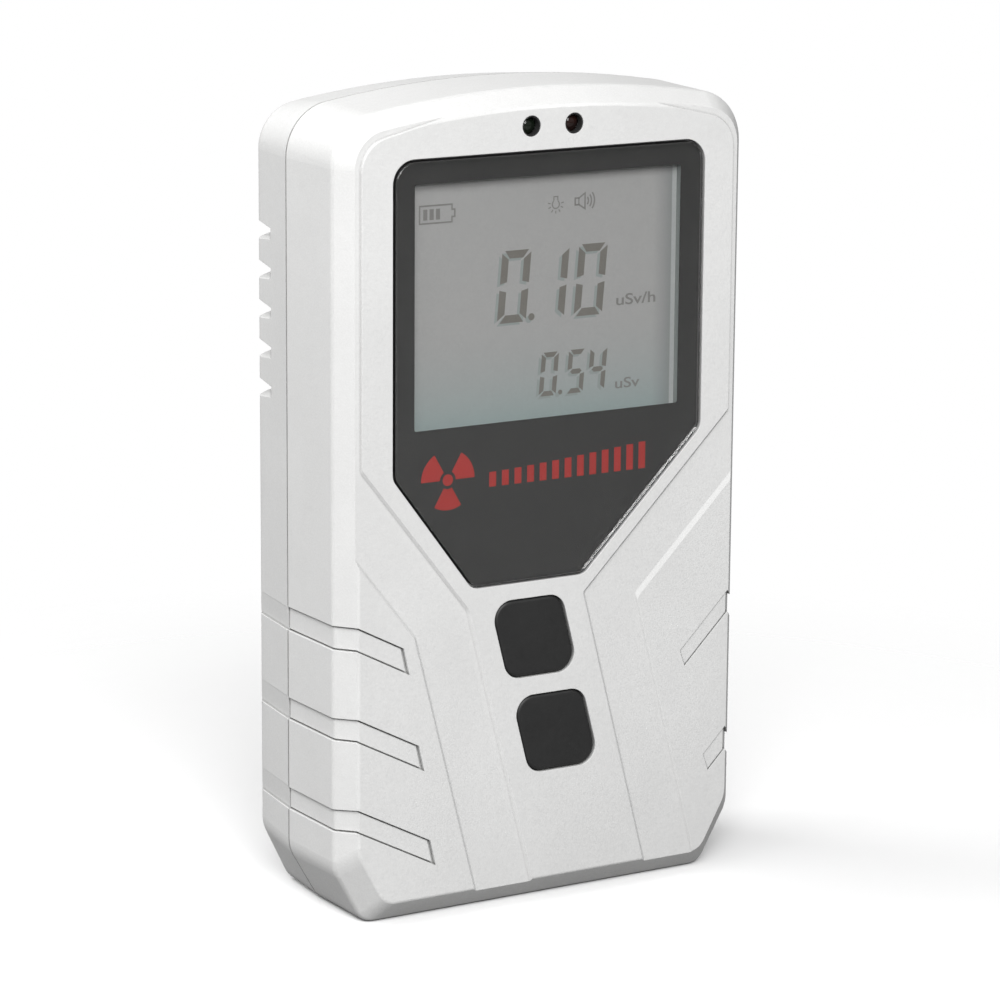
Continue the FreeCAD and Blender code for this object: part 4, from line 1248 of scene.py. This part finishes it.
@dataclass
class BoardTrim:
    """Small parts soldered to the back of the circuit board above the counting tube."""

    columns: int = 8
    rows: int = 2
    pitch: tuple[float, float] = (4.2, 3.4)
    start: Point = (-14.7, 86.0)
    chip: Place = (2.0, 0.5, 1.25)
    cap: float = 0.35
    diodes: int = 5
    diode_pitch: float = 5.2
    diode_start: Point = (-10.4, 97.0)
    diode_lift: float = 1.05
    solder_gap: float = 0.01

    def block(self, name: str, low: Place, high: Place,
              others: Sequence[tuple[Place, Place]] = ()) -> bpy.types.Object:
        """Makes one or more boxes with rounded edges, repeated over the grid.

        Args:
            name: Name of the object.
            low: Lowest corner of the first box in millimetres.
            high: Its highest corner.
            others: Corners of further boxes.

        Returns:
            The new object with its modifiers applied.
        """
        built = bmesh.new()
        for a, b in [(low, high), *others]:
            size = [q - p for p, q in zip(a, b)]
            middle = [(p + q) / 2 * MM for p, q in zip(a, b)]
            shape = Matrix.Translation(middle) @ Matrix.Diagonal([v * MM for v in size] + [1.0])
            bmesh.ops.create_cube(built, size=1.0, matrix=shape)
        mesh = bpy.data.meshes.new(name)
        built.to_mesh(mesh)
        built.free()
        thing = link(name, mesh)
        stack(thing, "BEVEL", width=0.08 * MM, segments=2)
        stack(thing, "ARRAY", count=self.columns, use_relative_offset=False, use_constant_offset=True,
              constant_offset_displace=(self.pitch[0] * MM, 0.0, 0.0))
        stack(thing, "ARRAY", count=self.rows, use_relative_offset=False, use_constant_offset=True,
              constant_offset_displace=(0.0, 0.0, self.pitch[1] * MM))
        settle(thing, Matrix.Identity(4))
        return thing

    def resistors(self, back: float) -> None:
        """Builds the grid of chip resistors.

        Args:
            back: Depth of the board's back in millimetres.
        """
        x, z = self.start
        long, thick, wide = self.chip
        body = self.block("chip_resistor_bodies", (x + self.cap, back + 0.02, z),
                          (x + long - self.cap, back + thick - 0.03, z + wide))
        ends = self.block("chip_resistor_ends", (x, back, z), (x + self.cap - 0.01, back + thick, z + wide),
                          [((x + long - self.cap + 0.01, back, z), (x + long, back + thick, z + wide))])
        black = Moulding("resistor_black", (0.02, 0.02, 0.022), (0.04, 0.04, 0.045), 0.3)
        tinned = DrawnMetal("tinned_ends", (0.66, 0.66, 0.64), (0.55, 0.55, 0.53), 0.3)
        finish_piece(body, black, "case")
        finish_piece(ends, tinned, "case")

    def diode_row(self, back: float) -> None:
        """Builds the row of lying diodes of the high-voltage multiplier.

        Args:
            back: Depth of the board's back in millimetres.
        """
        upper = [(0.0, 4.6), (0.3, 4.6), (0.3, 2.25), (0.75, 2.2), (0.95, 2.0)]
        lower = [(radius, -height) for radius, height in reversed(upper)]
        row = turned("multiplier_diodes", upper + lower, 24)
        stack(row, "ARRAY", count=self.diodes, use_relative_offset=False, use_constant_offset=True,
              constant_offset_displace=(self.diode_pitch * MM, 0.0, 0.0))
        x, z = self.diode_start
        settle(row, Matrix.Translation((x * MM, (back + self.diode_lift) * MM, z * MM)))
        glass = Moulding("diode_glass", (0.30, 0.08, 0.03), (0.45, 0.16, 0.08), 0.15,
                         900.0, 0.01, 0.0, 0.6)
        finish_piece(row, glass, "case")

    def build(self) -> None:
        """Builds and dresses the small parts."""
        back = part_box("main_board")[1].y / MM + self.solder_gap
        self.resistors(back)
        self.diode_row(back)


# ---------------------------------------------------------------- stage
@dataclass
class Stage:
    """Pale floor, soft light and the camera."""

    camera_at: Place = (-0.26212, -0.44024, 0.16670)
    yaw: float = 30.775
    pitch: float = 12.788
    roll: float = 0.405
    lens: float = 146.28
    bright_side: Place = (-0.45, -0.35, 0.82)
    sky_low: float = 0.2
    sky_high: float = 0.32

    def floor(self) -> None:
        """Makes the floor."""
        mesh = bpy.data.meshes.new("floor")
        mesh.from_pydata([(-3, -3, 0), (3, -3, 0), (3, 3, 0), (-3, 3, 0)], [], [(0, 1, 2, 3)])
        thing = link("floor", mesh)
        paper = Recipe("white_paper", (0.9, 0.9, 0.9), 0.8)
        paper.shader.inputs["Specular IOR Level"].default_value = 0.1
        grain = paper.effect(Effects.fine_grain(), Scale=400.0, Softness=0.5)
        paper.feed("Roughness", paper.graph.span(grain["Tone"], 0.0, 1.0, 0.75, 0.9))
        seen = paper.graph.add("LightPath").outputs["Is Camera Ray"]
        paper.feed("Base Color", paper.graph.blend(seen, (0.22, 0.22, 0.22), (0.95, 0.95, 0.95)))
        reach = paper.graph.add("VectorMath", {"0": paper.place}, operation="LENGTH").outputs["Value"]
        fade = paper.graph.math("MULTIPLY", paper.graph.span(reach, 0.05, 0.16, 0.0, 1.0), seen)
        clear = paper.graph.add("BsdfTransparent")
        mixed = paper.graph.add("MixShader", {"0": fade, "1": paper.shader.outputs[0], "2": clear.outputs[0]})
        paper.graph.tree.links.new(mixed.outputs[0], paper.output.inputs["Surface"])
        mesh.materials.append(paper.material)

    def softbox(self, name: str, place: Place, size: float, watts: float) -> None:
        """Adds a square area light that looks at the meter.

        Args:
            name: Name of the light.
            place: Where it stands, in metres.
            size: Its side in metres.
            watts: Its power.
        """
        light = bpy.data.lights.new(name, "AREA")
        light.size = size
        light.energy = watts
        thing = link(name, light)
        thing.location = place
        aim = Vector((0, 0, 0.05)) - Vector(place)
        thing.rotation_euler = aim.to_track_quat("-Z", "Y").to_euler()

    def sky(self) -> None:
        """Makes the even surrounding light."""
        world = bpy.data.worlds.new("studio")
        world.use_nodes = True
        graph = Graph(world.node_tree)
        background = world.node_tree.nodes["Background"]
        way = graph.add("TexCoord").outputs["Generated"]
        lean = graph.add("VectorMath", {"0": way, "1": self.bright_side}, operation="DOT_PRODUCT")
        around = graph.span(lean.outputs["Value"], -1.0, 1.0, self.sky_low, self.sky_high)
        seen = graph.add("LightPath").outputs["Is Camera Ray"]
        strength = graph.math("MAXIMUM", around, seen)
        graph.tree.links.new(strength, background.inputs["Strength"])
        background.inputs["Color"].default_value = (1.0, 1.0, 1.0, 1.0)
        bpy.context.scene.world = world

    def camera(self) -> None:
        """Places the camera."""
        yaw, pitch, roll = (math.radians(v) for v in (self.yaw, self.pitch, self.roll))
        ahead = Vector((math.sin(yaw) * math.cos(pitch), math.cos(yaw) * math.cos(pitch), -math.sin(pitch)))
        level = Vector((math.cos(yaw), -math.sin(yaw), 0.0))
        lift = level.cross(ahead)
        right = level * math.cos(roll) + lift * math.sin(roll)
        up = lift * math.cos(roll) - level * math.sin(roll)
        data = bpy.data.cameras.new("camera")
        data.lens = self.lens
        data.sensor_width = 36.0
        data.clip_start = 0.01
        thing = link("camera", data)
        turn = Matrix((right, up, -ahead)).transposed().to_4x4()
        thing.matrix_world = Matrix.Translation(self.camera_at) @ turn
        bpy.context.scene.camera = thing

    def build(self) -> None:
        """Builds the stage."""
        self.floor()
        self.sky()
        self.softbox("key_light", (-0.20, -0.50, 0.42), 0.4, 5.0)
        self.softbox("side_light", (-0.50, -0.20, 0.42), 0.4, 0.9)
        self.softbox("back_light", (-0.40, 0.30, 0.50), 0.4, 2.5)
        self.camera()
        bpy.context.scene.view_settings.view_transform = "Standard"


def main() -> None:
    """Builds the whole scene in order."""
    logging.basicConfig(level=logging.INFO, format="%(message)s")
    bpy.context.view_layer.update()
    CarriedNodes().dress()
    display_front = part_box("lcd_cell")[0].y / MM
    Readout(display_front - 0.03).build()
    WindowMark(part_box("window_mask")[0].y / MM - 0.022).build()
    WindowEdge().build()
    DisplayWallShade().build()
    DryCell("cell_left", True).build()
    DryCell("cell_right", False).build()
    BoardTrim().build()
    Stage().build()


if __name__ == "__main__":
    main()
